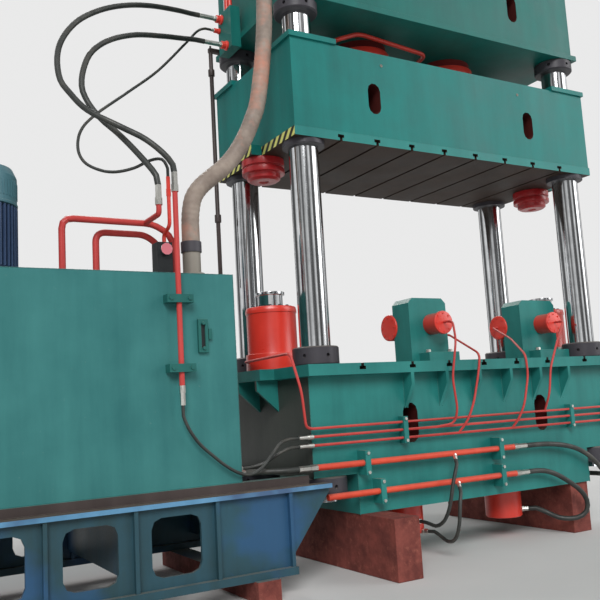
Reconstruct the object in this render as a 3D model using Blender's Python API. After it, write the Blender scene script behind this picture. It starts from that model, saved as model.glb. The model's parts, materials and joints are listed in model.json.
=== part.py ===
"""Four-column hydraulic press with its power unit, modelled at full size.

Units are metres and +Z is up.  Every piece is laid out about the press centre line, which the
empty "press_axis" carries, so that the whole machine is centred on the world origin.  The slide,
the rams, the buffer plungers, the ejector rods and the clamp rods move; all the rest is fixed.
"""

import math

import bmesh
import bpy
from mathutils import Vector

# Fits
GAP = 0.0003                    # what two faces that touch keep between them
SIDES = 16                      # facets of a large turned piece
SMALL_SIDES = 10                # facets of a small turned piece
PIPE_SIDES = 8
THIN_SIDES = 6

# Floor and supports
BEAM_H = 0.51
BEAM_W = 0.26
BEAM_OUTER_X = 1.47
BEAM_REAR = 1.25
BEAM_FRONT_LEFT = 1.25          # the left beam stands out in front of the base
BEAM_FRONT_RIGHT = 0.74
SLEEPER_H = 0.155
SLEEPER_W = 0.20
SLEEPER_REACH = 1.05

# Base and table
BASE_HALF_L = 1.93
BASE_HALF_W = 0.77
BASE_END_H = 0.87               # depth of the shallow ends, under the table plate
BASE_DEEP_HALF_L = 1.48
BASE_DEEP_DROP = 0.35           # how far the middle hangs below the ends
TABLE_LIP = 0.07                # how far the table plate stands out past the base's ends
TABLE_HALF_L = BASE_HALF_L + TABLE_LIP
TABLE_HALF_W = 0.90
TABLE_T = 0.10
TABLE_SLOT_X = (-1.44, -0.88, -0.44, 0.0, 0.44, 0.88, 1.44)
GUSSET_X = (-0.89, -0.475, -0.06, 0.355, 0.77, 1.185)
GUSSET_T = 0.035
GUSSET_NOSE = 0.11
GUSSET_H = 0.32
BRACKET_OUT = 0.22
BRACKET_REACH = BASE_HALF_L + BRACKET_OUT   # how far each end bracket reaches from the centre
BRACKET_HALF_W = 0.28
BRACKET_RIB_Y = 0.19
BRACKET_RIB_NOSE = 0.09
BRACKET_RIB_H = 0.29
BASE_OVAL_X = 0.85
BASE_OVAL_W = 0.17
BASE_OVAL_H = 0.37
BASE_OVAL_DROP = 0.46           # centre of the window below the table plate
POCKET_DEPTH = 0.50

# T-slots, the same in table and slide
SLOT_MOUTH_W = 0.030
SLOT_MOUTH_H = 0.028
SLOT_T_W = 0.068
SLOT_T_H = 0.030

# Columns and their nuts
COLUMN_D = 0.28
COLUMN_X = 1.7475
COLUMN_Y = 0.6175
COLUMN_END = 0.05               # thread standing out past the end nuts
NUT_D = 0.42
NUT_H = 0.165
CROWN_NUT_H = 0.115             # the flat nuts under the crown
NUT_CHAMFER = 0.012
NUT_HOLE_D = 0.034
NUT_HOLE_DEPTH = 0.035

# Slide
SLIDE_HALF_L = 1.942
SLIDE_HALF_W = 0.812
SLIDE_BOTTOM_Z = 3.90
SLIDE_H = 0.94
SLIDE_PLATE_T = 0.085
SLIDE_PLATE_LIP = 0.008
SLIDE_SLOT_PITCH = 0.415
SLIDE_SLOT_COUNT = 8
SLIDE_OVAL_X = 1.03
SLIDE_OVAL_W = 0.145
SLIDE_OVAL_H = 0.31
PAD_L = 0.515
PAD_W = 0.44
PAD_T = 0.05
PAD_LIP = 0.02                  # how far the corner pads stand out over the slide's sides
LUG_OUT = 0.11
LUG_HALF_W = 0.17
LUG_H = 0.10

# Guide bushes
BUSH_WALL = 0.03
BUSH_FLANGE_D = 0.40
BUSH_FLANGE_T = 0.045
BUSH_LIP = 0.012
BUSH_CLEARANCE = 0.0005

# Strike pads under the slide and buffer cylinders on the table
STRIKE_X = 1.85
STRIKE_D = 0.42
STRIKE_GROOVE = 0.02
STRIKE_RIM_T = 0.07
STRIKE_STEP_D = 0.33
STRIKE_NOSE_D = 0.27
STRIKE_H = 0.21
BUFFER_D = 0.48
BUFFER_FOOT_D = 0.52
BUFFER_FOOT_H = 0.155
BUFFER_H = 0.60
BUFFER_BAND_H = 0.03
PLUNGER_D = 0.24
PLUNGER_OUT = 0.15
PLUNGER_SUNK = 0.34
PLUNGER_STROKE = 0.115
PLUNGER_HEAD_D = 0.28
PLUNGER_HEAD_H = 0.03
BORE_EXTRA = 0.02

# Crown
CROWN_BOTTOM_Z = 5.27
CROWN_HALF_L = 1.88
CROWN_HALF_W = 0.79
CROWN_H = 1.22
CROWN_PLATE_T = 0.06
CROWN_LIP = 0.045
CROWN_OVAL_X = 0.98
CROWN_OVAL_W = 0.14
CROWN_OVAL_H = 0.31
CROWN_OVAL_UP = 0.46

# Main cylinders, rams and prefill valves
RAM_X = 0.60
RAM_D = 0.40
RAM_FOOT_D = 0.58
RAM_FOOT_T = 0.07
PISTON_H = 0.15
CYLINDER_D = 0.60
CYLINDER_BORE_D = 0.46
CYLINDER_BELOW = 0.08           # how far the cylinder stands out under the crown
CYLINDER_ABOVE = 0.34
CYLINDER_CAP_T = 0.12
GLAND_D = 0.66
GLAND_T = 0.10
HEAD_D = 0.34
HEAD_H = 0.30
HEAD_FLANGE_D = 0.46
HEAD_FLANGE_T = 0.05
HEAD_PORT_Z = 0.17
CROSSOVER_D = 0.11

# Ejectors under the base
EJECTOR_X = 0.66
EJECTOR_Y = 0.30
EJECTOR_D = 0.38
EJECTOR_H = 0.31
EJECTOR_ROD_D = 0.09
EJECTOR_ROD_SUNK = 0.26
EJECTOR_ROD_BELOW_TABLE = 0.01

# Clamp blocks on the table: a block, a front cylinder and a side cylinder each
BLOCK_X = (-0.30, 1.26)
BLOCK_HALF_L = (0.24, 0.27)
BLOCK_FRONT_Y = -0.47
BLOCK_DEPTH = 0.27
BLOCK_H = 0.66
BLOCK_FOOT_H = 0.10
BLOCK_FOOT_OUT = 0.16
BLOCK_FOOT_BACK = 0.09          # the foot starts this far right of the block's left face
BLOCK_CHAMFER = 0.05
FRONT_CYL_X = (-0.27, 1.29)
CYL_AXIS_H = 0.39               # height of both cylinder axes over the table
FRONT_CYL_D = 0.21
FRONT_CYL_L = 0.20
FRONT_CAP_D = 0.23
FRONT_CAP_T = 0.035
SIDE_CYL_D = 0.27
SIDE_CYL_L = 0.36
SIDE_CYL_OUT = 0.015            # its cap stands out this far past the block's left face
SIDE_ROD_D = 0.12
SIDE_ROD_OUT = 0.03
SIDE_ROD_SUNK = 0.22

# Pipes along the base front
THIN_PIPE_D = 0.026
DROP_PIPE_D = 0.023
THIN_PIPE_Z = (1.283, 1.213, 1.140)
THICK_PIPE_D = 0.055
THICK_PIPE_Y = -0.862
THICK_PIPE_Z = (0.957, 0.700)
PIPE_Y = -0.825
PIPE_LEFT_X = -1.955
PIPE_RIGHT_X = 1.80
THICK_RIGHT_X = 0.33
LOW_PIPE_LEFT_X = -1.86
CLAMP_X = (-0.97, 1.23)
CLAMP_W = 0.05
CLAMP_H = 0.24
THICK_CLAMPS = ((-1.446, 0), (-1.30, 1), (0.14, 0), (0.14, 1))
THICK_CLAMP_W = 0.055
THICK_CLAMP_H = 0.21
TEE_LEAN = 0.03
JUNCTION_L = 0.09
BOLT_D = 0.055
BOLT_H = 0.03
SMALL_BOLT_D = 0.032
SMALL_BOLT_H = 0.012
FERRULE_D = 0.062
SLIM_FERRULE_D = 0.042

# Power unit: frame, rails, tank
UNIT_LEFT_X = -5.45
FRAME_RIGHT_X = -1.89
FRAME_Y = 0.92
FRAME_H = 0.677
FRAME_FLANGE_W = 0.14
FRAME_FLANGE_T = 0.035
FRAME_FOOT_T = 0.06
FRAME_TOE_H = 0.15              # the web's height where its tapered end begins
FRAME_NOSE_H = 0.03
FRAME_WEB_T = 0.03
FRAME_PITCH = 0.645
FRAME_LAST_RIB_X = -2.281
FRAME_RIBS = 5
FRAME_RIB_T = 0.03
WINDOW_L = 0.395
WINDOW_H = 0.43
WINDOW_R = 0.08
CROSS_T = 0.08
RAIL_H = 0.065
RAIL_W = 0.09
RAIL_WALL = 0.014
RAIL_Y = 0.79
RAIL_RIGHT_X = -2.02
TANK_RIGHT_X = -2.63
TANK_HALF_W = 0.82
TANK_H = 1.70
TANK_EDGE = 0.012
SLEEPER_X = (-5.15, -2.55)

# Things on the tank
MOTOR_X = -4.49
MOTOR_D = 0.60
MOTOR_FINS = 16
MOTOR_FIN_H = 0.035
MOTOR_FOOT_H = 0.10
MOTOR_BODY_H = 0.53
MOTOR_COVER_H = 0.33
MOTOR_FLANGE_D = 0.56
RISER_D = 0.046
RISER_Y = -0.88
RISER_TOP_Z = 3.13
SLIM_RISER_TOP_Z = 3.25
LONG_PIPE_Z = 3.055
TANK_PIPE_D = 0.055
FRONT_PIPE_X = -3.14
FRONT_PIPE_TOP_Z = 3.25
FRONT_PIPE_LOW_Z = 1.69
TANK_CLAMP_Z = 1.83
TANK_CLAMP_L = 0.22
TANK_CLAMP_H = 0.065
GAUGE_X = -2.93
GAUGE_Z = 2.085
GAUGE_W = 0.085
GAUGE_H = 0.27
GAUGE_T = 0.03
VALVE_X = -3.16
VALVE_Y = -0.60
VALVE_W = 0.13
VALVE_H = 0.28
VALVE_EYE_D = 0.10
VALVE_EYE_OUT = 0.045
VALVE_RISER_Z = 3.00
SUCTION_D = 0.152
SUCTION_X = -2.91
SUCTION_Y = -0.62
SUCTION_STUB_H = 0.30
SUCTION_FLANGE = 0.03
SUCTION_FLANGE_T = 0.03
CLAMP_BAND_H = 0.09
CLAMP_BAND_OUT = 0.011
ROD_X = -2.06
ROD_Y = 0.66
ROD_D = 0.022
ROD_TOP_Z = 5.36
ROD_LOW_Z = 2.75
ROD_ARM_H = 0.045

# Hydraulic manifold on the crown's left side
MANIFOLD_OUT = 0.11
MANIFOLD_W = 0.30
MANIFOLD_H = 0.44
MANIFOLD_Y = 0.34
MANIFOLD_Z = 5.39
CROWN_PIPE_RISE = 0.22
CROWN_PIPE_APART = 0.08
CROWN_PIPE_LANDINGS = (-1.52, -1.40)

# Hoses: diameter, and the route through points chosen by hand about the press centre line
HOSE_D = 0.050
MID_HOSE_D = 0.034
SLIM_HOSE_D = 0.026
LOOP_OUTER = ((-2.29, 0.40, 5.54), (-2.39, 0.40, 5.54), (-2.56, 0.34, 5.51), (-2.87, 0.22, 5.43),
              (-3.16, 0.11, 5.32), (-3.43, 0.01, 5.17), (-3.67, -0.09, 4.97), (-3.83, -0.17, 4.74),
              (-3.90, -0.25, 4.52), (-3.90, -0.33, 4.29), (-3.83, -0.42, 4.10), (-3.70, -0.52, 3.96),
              (-3.56, -0.63, 3.84), (-3.43, -0.75, 3.71), (-3.34, -0.84, 3.56), (-3.28, -0.88, 3.41),
              (-3.28, -0.88, 3.29))
LOOP_INNER = ((-2.29, 0.30, 5.21), (-2.39, 0.30, 5.21), (-2.56, 0.25, 5.17), (-2.80, 0.15, 5.10),
              (-3.13, 0.00, 4.98), (-3.41, -0.12, 4.82), (-3.60, -0.22, 4.63), (-3.68, -0.29, 4.45),
              (-3.71, -0.35, 4.28), (-3.67, -0.42, 4.12), (-3.58, -0.50, 4.00), (-3.45, -0.60, 3.89),
              (-3.30, -0.72, 3.77), (-3.18, -0.83, 3.64), (-3.14, -0.88, 3.51), (-3.14, -0.88, 3.41))
LOOP_SLIM = ((-2.14, 0.46, 5.44), (-2.20, 0.46, 5.44), (-2.31, 0.42, 5.37), (-2.48, 0.34, 5.17),
             (-2.84, 0.20, 4.76), (-3.21, 0.06, 4.42), (-3.54, -0.08, 4.12), (-3.69, -0.16, 3.93),
             (-3.74, -0.24, 3.74), (-3.71, -0.32, 3.60), (-3.61, -0.40, 3.52), (-3.50, -0.48, 3.49),
             (-3.37, -0.57, 3.51), (-3.26, -0.66, 3.56), (-3.18, -0.72, 3.56), (-3.14, -0.74, 3.48),
             (-3.14, -0.74, 3.41))
TANK_HOSE = ((-3.14, -0.88, 1.54), (-3.14, -0.88, 1.46), (-3.09, -0.885, 1.34), (-3.01, -0.885, 1.23),
             (-2.90, -0.885, 1.13), (-2.80, -0.88, 1.05), (-2.69, -0.875, 0.985), (-2.58, -0.865, 0.96),
             (-2.47, -0.85, 1.00), (-2.36, -0.84, 1.10), (-2.27, -0.83, 1.185), (-2.17, -0.825, 1.213),
             (-2.09, -0.825, 1.213))
SIDE_HOSE = ((-2.09, -0.825, 1.14), (-2.17, -0.825, 1.14), (-2.27, -0.80, 1.10), (-2.38, -0.74, 1.03),
             (-2.50, -0.70, 1.00), (-2.57, -0.70, 1.00))
THICK_LEFT_HOSE = ((-2.13, -0.862, 0.957), (-2.21, -0.862, 0.957), (-2.35, -0.80, 0.96),
                   (-2.50, -0.735, 0.965), (-2.565, -0.735, 0.965))
RIGHT_UPPER_HOSE = ((0.50, -0.862, 0.957), (0.60, -0.862, 0.957), (0.80, -0.865, 0.95),
                    (1.01, -0.865, 0.925), (1.21, -0.87, 0.875), (1.38, -0.875, 0.79),
                    (1.51, -0.87, 0.69), (1.62, -0.84, 0.605), (1.71, -0.76, 0.565),
                    (1.75, -0.65, 0.56), (1.735, -0.565, 0.56), (1.69, -0.50, 0.56),
                    (1.61, -0.45, 0.56), (1.545, -0.45, 0.56))
RIGHT_LOWER_HOSE = ((0.50, -0.862, 0.70), (0.60, -0.862, 0.70), (0.74, -0.865, 0.685),
                    (0.89, -0.87, 0.635), (1.06, -0.88, 0.54), (1.20, -0.885, 0.44),
                    (1.28, -0.88, 0.33), (1.27, -0.86, 0.22), (1.18, -0.80, 0.165),
                    (1.07, -0.69, 0.17), (0.99, -0.59, 0.225), (0.928, -0.501, 0.27),
                    (0.864, -0.453, 0.27))
EJECTOR_HOSE_UPPER = ((-0.47, -0.912, 0.90), (-0.4884, -0.9427, 0.865), (-0.54, -0.97, 0.79),
                      (-0.585, -0.98, 0.69), (-0.61, -0.97, 0.57), (-0.625, -0.94, 0.46),
                      (-0.64, -0.88, 0.36), (-0.655, -0.79, 0.31), (-0.66, -0.70, 0.32),
                      (-0.66, -0.62, 0.33), (-0.66, -0.56, 0.33))
EJECTOR_HOSE_LOWER = ((-0.45, -0.912, 0.645), (-0.4687, -0.9432, 0.6107), (-0.505, -0.97, 0.54),
                      (-0.53, -0.98, 0.44), (-0.54, -0.97, 0.33), (-0.54, -0.93, 0.23),
                      (-0.525, -0.85, 0.165), (-0.51, -0.75, 0.15), (-0.505, -0.67, 0.175),
                      (-0.5177, -0.5784, 0.22), (-0.545, -0.525, 0.22))
SUCTION_HOSE = ((-2.91, -0.62, 3.05), (-2.90, -0.62, 3.17), (-2.87, -0.62, 3.29),
                (-2.80, -0.62, 3.39), (-2.70, -0.62, 3.48), (-2.58, -0.62, 3.58), (-2.47, -0.62, 3.70),
                (-2.36, -0.62, 3.87), (-2.27, -0.62, 4.06), (-2.20, -0.62, 4.26), (-2.12, -0.62, 4.74),
                (-2.08, -0.62, 5.25), (-2.08, -0.61, 5.75), (-2.08, -0.59, 6.20), (-2.07, -0.56, 6.60),
                (-1.98, -0.48, 6.92), (-1.78, -0.35, 7.09), (-1.50, -0.18, 7.12), (-1.20, -0.04, 7.06))

# Steel pipes: corner points, each bend rounded
GLAND_PORT_Z = 5.14
UNDER_CROWN_PIPE = ((-RAM_X - GLAND_D / 2 - GAP, 0.0, GLAND_PORT_Z), (-1.19, 0.0, GLAND_PORT_Z),
                    (-1.19, -0.45, 5.10), (-0.90, -0.45, 5.225), (-0.03, -0.45, 5.15),
                    (0.06, 0.0, GLAND_PORT_Z), (RAM_X - GLAND_D / 2 - GAP, 0.0, GLAND_PORT_Z))
BUFFER_PIPE = ((-STRIKE_X - BUFFER_FOOT_D / 2 - GAP, 0.0, 1.915), (-TABLE_HALF_L - 0.15, 0.0, 1.915),
               (-TABLE_HALF_L - 0.15, 0.04 - TABLE_HALF_W, 1.93),
               (-TABLE_HALF_L - 0.10, -TABLE_HALF_W - 0.03, 1.60),
               (-TABLE_HALF_L - 0.04, 0.03 - TABLE_HALF_W, 1.30))

THIN_BEND = 0.07
PIPE_BEND = 0.09
RISER_BEND = 0.06
SLIM_BEND = 0.04
CROWN_PIPE_BEND = 0.12

STRAIGHT = 0.0001

# What is welded, brazed or bolted on is rooted this deep in what carries it
ROOT = 0.004
FITTING_NUT_SHARE = 0.35
FITTING_SLEEVE = 0.84

# The whole machine is centred on the world's origin, between the unit's left end and the bracket
PRESS_X = -(UNIT_LEFT_X + BRACKET_REACH) / 2

# Heights that several pieces share
BASE_LOW_Z = BEAM_H + GAP
BASE_END_Z = BASE_LOW_Z + BASE_DEEP_DROP
TABLE_LOW_Z = BASE_END_Z + BASE_END_H
TABLE_Z = TABLE_LOW_Z + TABLE_T
SLIDE_TOP_Z = SLIDE_BOTTOM_Z + SLIDE_H
CROWN_TOP_Z = CROWN_BOTTOM_Z + CROWN_H
FRAME_LOW_Z = SLEEPER_H
FRAME_TOP_Z = FRAME_LOW_Z + FRAME_H
TANK_LOW_Z = FRAME_TOP_Z + GAP + RAIL_H
TANK_TOP_Z = TANK_LOW_Z + TANK_H
TANK_PIPE_FOOT_Z = TANK_TOP_Z + GAP
TANK_PIPE_LONG = ((-3.96, -0.54, TANK_PIPE_FOOT_Z), (-3.96, -0.54, LONG_PIPE_Z), (-3.20, -0.54, LONG_PIPE_Z),
                  (-3.04, -0.54, 2.95), (-3.04, -0.54, TANK_PIPE_FOOT_Z))
TANK_PIPE_SHORT = ((-3.66, -0.42, TANK_PIPE_FOOT_Z), (-3.66, -0.42, 2.985), (-3.24, -0.42, 2.985),
                   (-3.12, -0.42, 2.90), (-3.12, -0.42, TANK_PIPE_FOOT_Z))
COLUMNS = {
    "front_left": (-COLUMN_X, -COLUMN_Y),
    "front_right": (COLUMN_X, -COLUMN_Y),
    "back_left": (-COLUMN_X, COLUMN_Y),
    "back_right": (COLUMN_X, COLUMN_Y),
}


def clear_scene():
    for obj in list(bpy.data.objects):
        bpy.data.objects.remove(obj, do_unlink=True)


def paint(name, rgb, roughness, metallic=0.0):
    """A material from an 8-bit screen colour."""
    linear = []
    for channel in rgb:
        c = channel / 255
        linear.append(c / 12.92 if c <= 0.04045 else ((c + 0.055) / 1.055) ** 2.4)
    mat = bpy.data.materials.new(name)
    mat.use_nodes = True
    shader = mat.node_tree.nodes["Principled BSDF"]
    shader.inputs["Base Color"].default_value = (*linear, 1.0)
    shader.inputs["Roughness"].default_value = roughness
    shader.inputs["Metallic"].default_value = metallic
    mat.diffuse_color = (*linear, 1.0)
    return mat


def place(name, data, mat, at=(0, 0, 0)):
    """Link an object under the press axis and give it its one material."""
    obj = bpy.data.objects.new(name, data)
    bpy.context.scene.collection.objects.link(obj)
    obj.parent = bpy.data.objects["press_axis"]
    obj.location = at
    if mat is not None:
        data.materials.append(mat)
    return obj


def mesh_from(name, bm, mat, at=(0, 0, 0), smooth=False):
    """Turn a finished bmesh into a placed object with its faces pointing out."""
    bmesh.ops.recalc_face_normals(bm, faces=bm.faces)
    mesh = bpy.data.meshes.new(name)
    bm.to_mesh(mesh)
    bm.free()
    if smooth:
        mesh.polygons.foreach_set("use_smooth", [True] * len(mesh.polygons))
        mesh.set_sharp_from_angle(angle=math.radians(35))
    return place(name, mesh, mat, at)


def add_box(bm, low, high):
    """Add the box between two corners."""
    size = [h - l for l, h in zip(low, high)]
    middle = [(h + l) / 2 for l, h in zip(low, high)]
    made = bmesh.ops.create_cube(bm, size=1.0)["verts"]
    bmesh.ops.scale(bm, vec=size, verts=made)
    bmesh.ops.translate(bm, vec=middle, verts=made)
    return made


def add_prism(bm, outline, axis, start, end):
    """Extrude an outline along X, Y or Z; its points are the two other coordinates in order."""
    def lift(point, along):
        coords = list(point)
        coords.insert("XYZ".index(axis), along)
        return coords
    face = bm.faces.new([bm.verts.new(lift(p, start)) for p in outline])
    grown = bmesh.ops.extrude_face_region(bm, geom=[face])["geom"]
    top = [g for g in grown if isinstance(g, bmesh.types.BMVert)]
    shift = [0.0, 0.0, 0.0]
    shift["XYZ".index(axis)] = end - start
    bmesh.ops.translate(bm, vec=shift, verts=top)


def add_turned(bm, profile, at=(0, 0, 0), axis="Z", sides=SIDES, ring=False):
    """Turn (radius, height) points about an axis; a ring's profile closes on itself."""
    loops = []
    for radius, height in profile:
        row = []
        for k in range(sides if radius > 0 else 1):
            angle = 2 * math.pi * k / sides
            across = (radius * math.cos(angle), radius * math.sin(angle))
            local = {"X": (height, *across), "Y": (across[0], height, across[1]), "Z": (*across, height)}
            row.append(bm.verts.new(Vector(local[axis]) + Vector(at)))
        loops.append(row)
    pairs = list(zip(loops, loops[1:]))
    if ring:
        pairs.append((loops[-1], loops[0]))
    for low, high in pairs:
        for k in range(sides):
            quad = [low[k % len(low)], low[(k + 1) % len(low)],
                    high[(k + 1) % len(high)], high[k % len(high)]]
            bm.faces.new(list(dict.fromkeys(quad)))


def disc_profile(diameter, low, high, chamfer=0.0):
    """A solid cylinder's profile, with an optional chamfer at both ends."""
    r = diameter / 2
    if chamfer == 0:
        return [(0, low), (r, low), (r, high), (0, high)]
    return [(0, low), (r - chamfer, low), (r, low + chamfer), (r, high - chamfer), (r - chamfer, high),
            (0, high)]


def oval(width, height, centre, steps=5):
    """A window outline with half-round ends."""
    r = width / 2
    points = []
    for turn, lift in ((0, height / 2 - r), (math.pi, r - height / 2)):
        for k in range(steps + 1):
            angle = turn + math.pi * k / steps
            points.append((centre[0] + r * math.cos(angle), centre[1] + lift + r * math.sin(angle)))
    return points


def rounded(width, height, radius, centre, steps=2):
    """A rectangle outline with round corners."""
    points = []
    corners = ((1, 1), (-1, 1), (-1, -1), (1, -1))
    for quarter, (sx, sy) in enumerate(corners):
        cx = centre[0] + sx * (width / 2 - radius)
        cy = centre[1] + sy * (height / 2 - radius)
        for k in range(steps + 1):
            angle = math.pi / 2 * (quarter + k / steps)
            points.append((cx + radius * math.cos(angle), cy + radius * math.sin(angle)))
    return points


def tee(x, face, into):
    """A T-slot outline cut into a face; into is -1 for a table and +1 for a slide."""
    mouth = SLOT_MOUTH_W / 2
    bar = SLOT_T_W / 2
    neck = face + into * SLOT_MOUTH_H
    floor = neck + into * SLOT_T_H
    outside = face - into * GAP
    return [(x - mouth, outside), (x - mouth, neck), (x - bar, neck), (x - bar, floor),
            (x + bar, floor), (x + bar, neck), (x + mouth, neck), (x + mouth, outside)]


def boolean(target, bm, operation, name):
    """Cut or join a tool shape; the tool stays in the file as a hidden wire object."""
    tool = mesh_from(name, bm, None)
    tool.location = target.location
    tool.hide_render = True
    tool.display_type = "WIRE"
    tool.hide_set(True)
    step = target.modifiers.new(name, "BOOLEAN")
    step.object = tool
    step.operation = operation
    step.solver = "EXACT"


def add_sweep(bm, line, diameter, sides=PIPE_SIDES):
    """Round bar along a centre line, closed at both ends."""
    line = [Vector(p) for p in line]
    headings = [(b - a).normalized() for a, b in zip(line, line[1:])]
    side = headings[0].orthogonal().normalized()
    rows = []
    for k, centre in enumerate(line):
        before = headings[max(0, k - 1)]
        after = headings[min(k, len(headings) - 1)]
        along = (before + after).normalized()
        side = (side - along * side.dot(along)).normalized()
        up = along.cross(side)
        row = []
        for turn in range(sides):
            angle = 2 * math.pi * turn / sides
            row.append(bm.verts.new(centre + (side * math.cos(angle) + up * math.sin(angle)) * diameter / 2))
        rows.append(row)
    for low, high in zip(rows, rows[1:]):
        for k in range(sides):
            bm.faces.new([low[k], low[(k + 1) % sides], high[(k + 1) % sides], high[k]])
    bm.faces.new(list(reversed(rows[0])))
    bm.faces.new(rows[-1])


def add_fitting(bm, seat, hose_end, diameter):
    """A hose-end fitting: a hexagon nut and a crimped sleeve, rooted in what carries it."""
    seat = Vector(seat)
    hose_end = Vector(hose_end)
    way = (hose_end - seat).normalized()
    start = seat - way * ROOT
    length = (hose_end - start).length - GAP
    turn = Vector((0, 0, 1)).rotation_difference(way).to_matrix().to_4x4()
    r = diameter / 2
    nut_end = ROOT + (length - ROOT) * FITTING_NUT_SHARE
    sleeve = r * FITTING_SLEEVE
    before = set(bm.verts)
    add_turned(bm, [(0, 0), (r, 0), (r, nut_end), (sleeve, nut_end), (sleeve, length), (0, length)], sides=6)
    fresh = [v for v in bm.verts if v not in before]
    bmesh.ops.transform(bm, matrix=turn, verts=fresh)
    bmesh.ops.translate(bm, vec=start, verts=fresh)


def add_bolt(bm, at, axis, diameter, height):
    """A hexagon head standing on a face; a negative height points the head the other way."""
    ends = sorted((-math.copysign(ROOT, height), height))
    add_turned(bm, disc_profile(diameter, *ends), at, axis=axis, sides=6)


def smooth_points(points, spacing):
    """A smooth line through a hand-chosen route, whose first and last legs stay straight."""
    knots = [Vector(p) for p in points]
    fine = []
    for p0, p1, p2, p3 in zip(knots, knots[1:], knots[2:], knots[3:]):
        for k in range(16):
            t = k / 16
            fine.append(0.5 * ((2 * p1) + (p2 - p0) * t + (2 * p0 - 5 * p1 + 4 * p2 - p3) * t * t
                               + (3 * p1 - p0 - 3 * p2 + p3) * t ** 3))
    fine.append(knots[-2])
    lengths = [0.0]
    for a, b in zip(fine, fine[1:]):
        lengths.append(lengths[-1] + (b - a).length)
    count = max(3, round(lengths[-1] / spacing))
    picked = [knots[0]]
    index = 0
    for k in range(count + 1):
        goal = lengths[-1] * k / count
        while index < len(fine) - 2 and lengths[index + 1] < goal:
            index += 1
        part = (goal - lengths[index]) / max(lengths[index + 1] - lengths[index], STRAIGHT)
        picked.append(fine[index].lerp(fine[index + 1], min(1.0, part)))
    return [*picked, knots[-1]]


def bent_points(points, radius, steps=3):
    """The centre line of a bent pipe: straight runs with a rounded bend at every corner."""
    route = [Vector(points[0])]
    for before, corner, after in zip(points, points[1:], points[2:]):
        corner = Vector(corner)
        back = Vector(before) - corner
        ahead = Vector(after) - corner
        reach = min(radius, back.length * 0.45, ahead.length * 0.45)
        start = corner + back.normalized() * reach
        end = corner + ahead.normalized() * reach
        for k in range(steps + 1):
            t = k / steps
            route.append(start * (1 - t) ** 2 + corner * 2 * t * (1 - t) + end * t * t)
    route.append(Vector(points[-1]))
    return route


def tube(name, runs, diameter, mat, resolution=2):
    """Round bar along one or more centre lines, capped at both ends."""
    curve = bpy.data.curves.new(name, "CURVE")
    curve.dimensions = "3D"
    curve.bevel_depth = diameter / 2
    curve.bevel_resolution = resolution
    curve.use_fill_caps = True
    for run in runs:
        spline = curve.splines.new("POLY")
        spline.points.add(len(run) - 1)
        for point, place_at in zip(spline.points, run):
            point.co = (*place_at, 1.0)
    return place(name, curve, mat)


def hose(name, route, diameter, mat):
    """A free hose along its route."""
    return tube(name, [smooth_points(route, 3 * diameter)], diameter, mat)


def build_supports(rust):
    """The two beams that the base stands on; the left one runs out in front."""
    for side, front, word in ((-1, BEAM_FRONT_LEFT, "left"), (1, BEAM_FRONT_RIGHT, "right")):
        bm = bmesh.new()
        xs = sorted((side * BEAM_OUTER_X, side * (BEAM_OUTER_X - BEAM_W)))
        add_box(bm, (xs[0], -front, 0), (xs[1], BEAM_REAR, BEAM_H))
        mesh_from("support_beam_" + word, bm, rust)


def base_outline():
    """The base's front view under the table plate: shallow ends and a deep middle."""
    return [(-BASE_HALF_L, TABLE_LOW_Z), (-BASE_HALF_L, BASE_END_Z), (-BASE_DEEP_HALF_L, BASE_END_Z),
            (-BASE_DEEP_HALF_L, BASE_LOW_Z), (BASE_DEEP_HALF_L, BASE_LOW_Z),
            (BASE_DEEP_HALF_L, BASE_END_Z), (BASE_HALF_L, BASE_END_Z), (BASE_HALF_L, TABLE_LOW_Z)]


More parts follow.
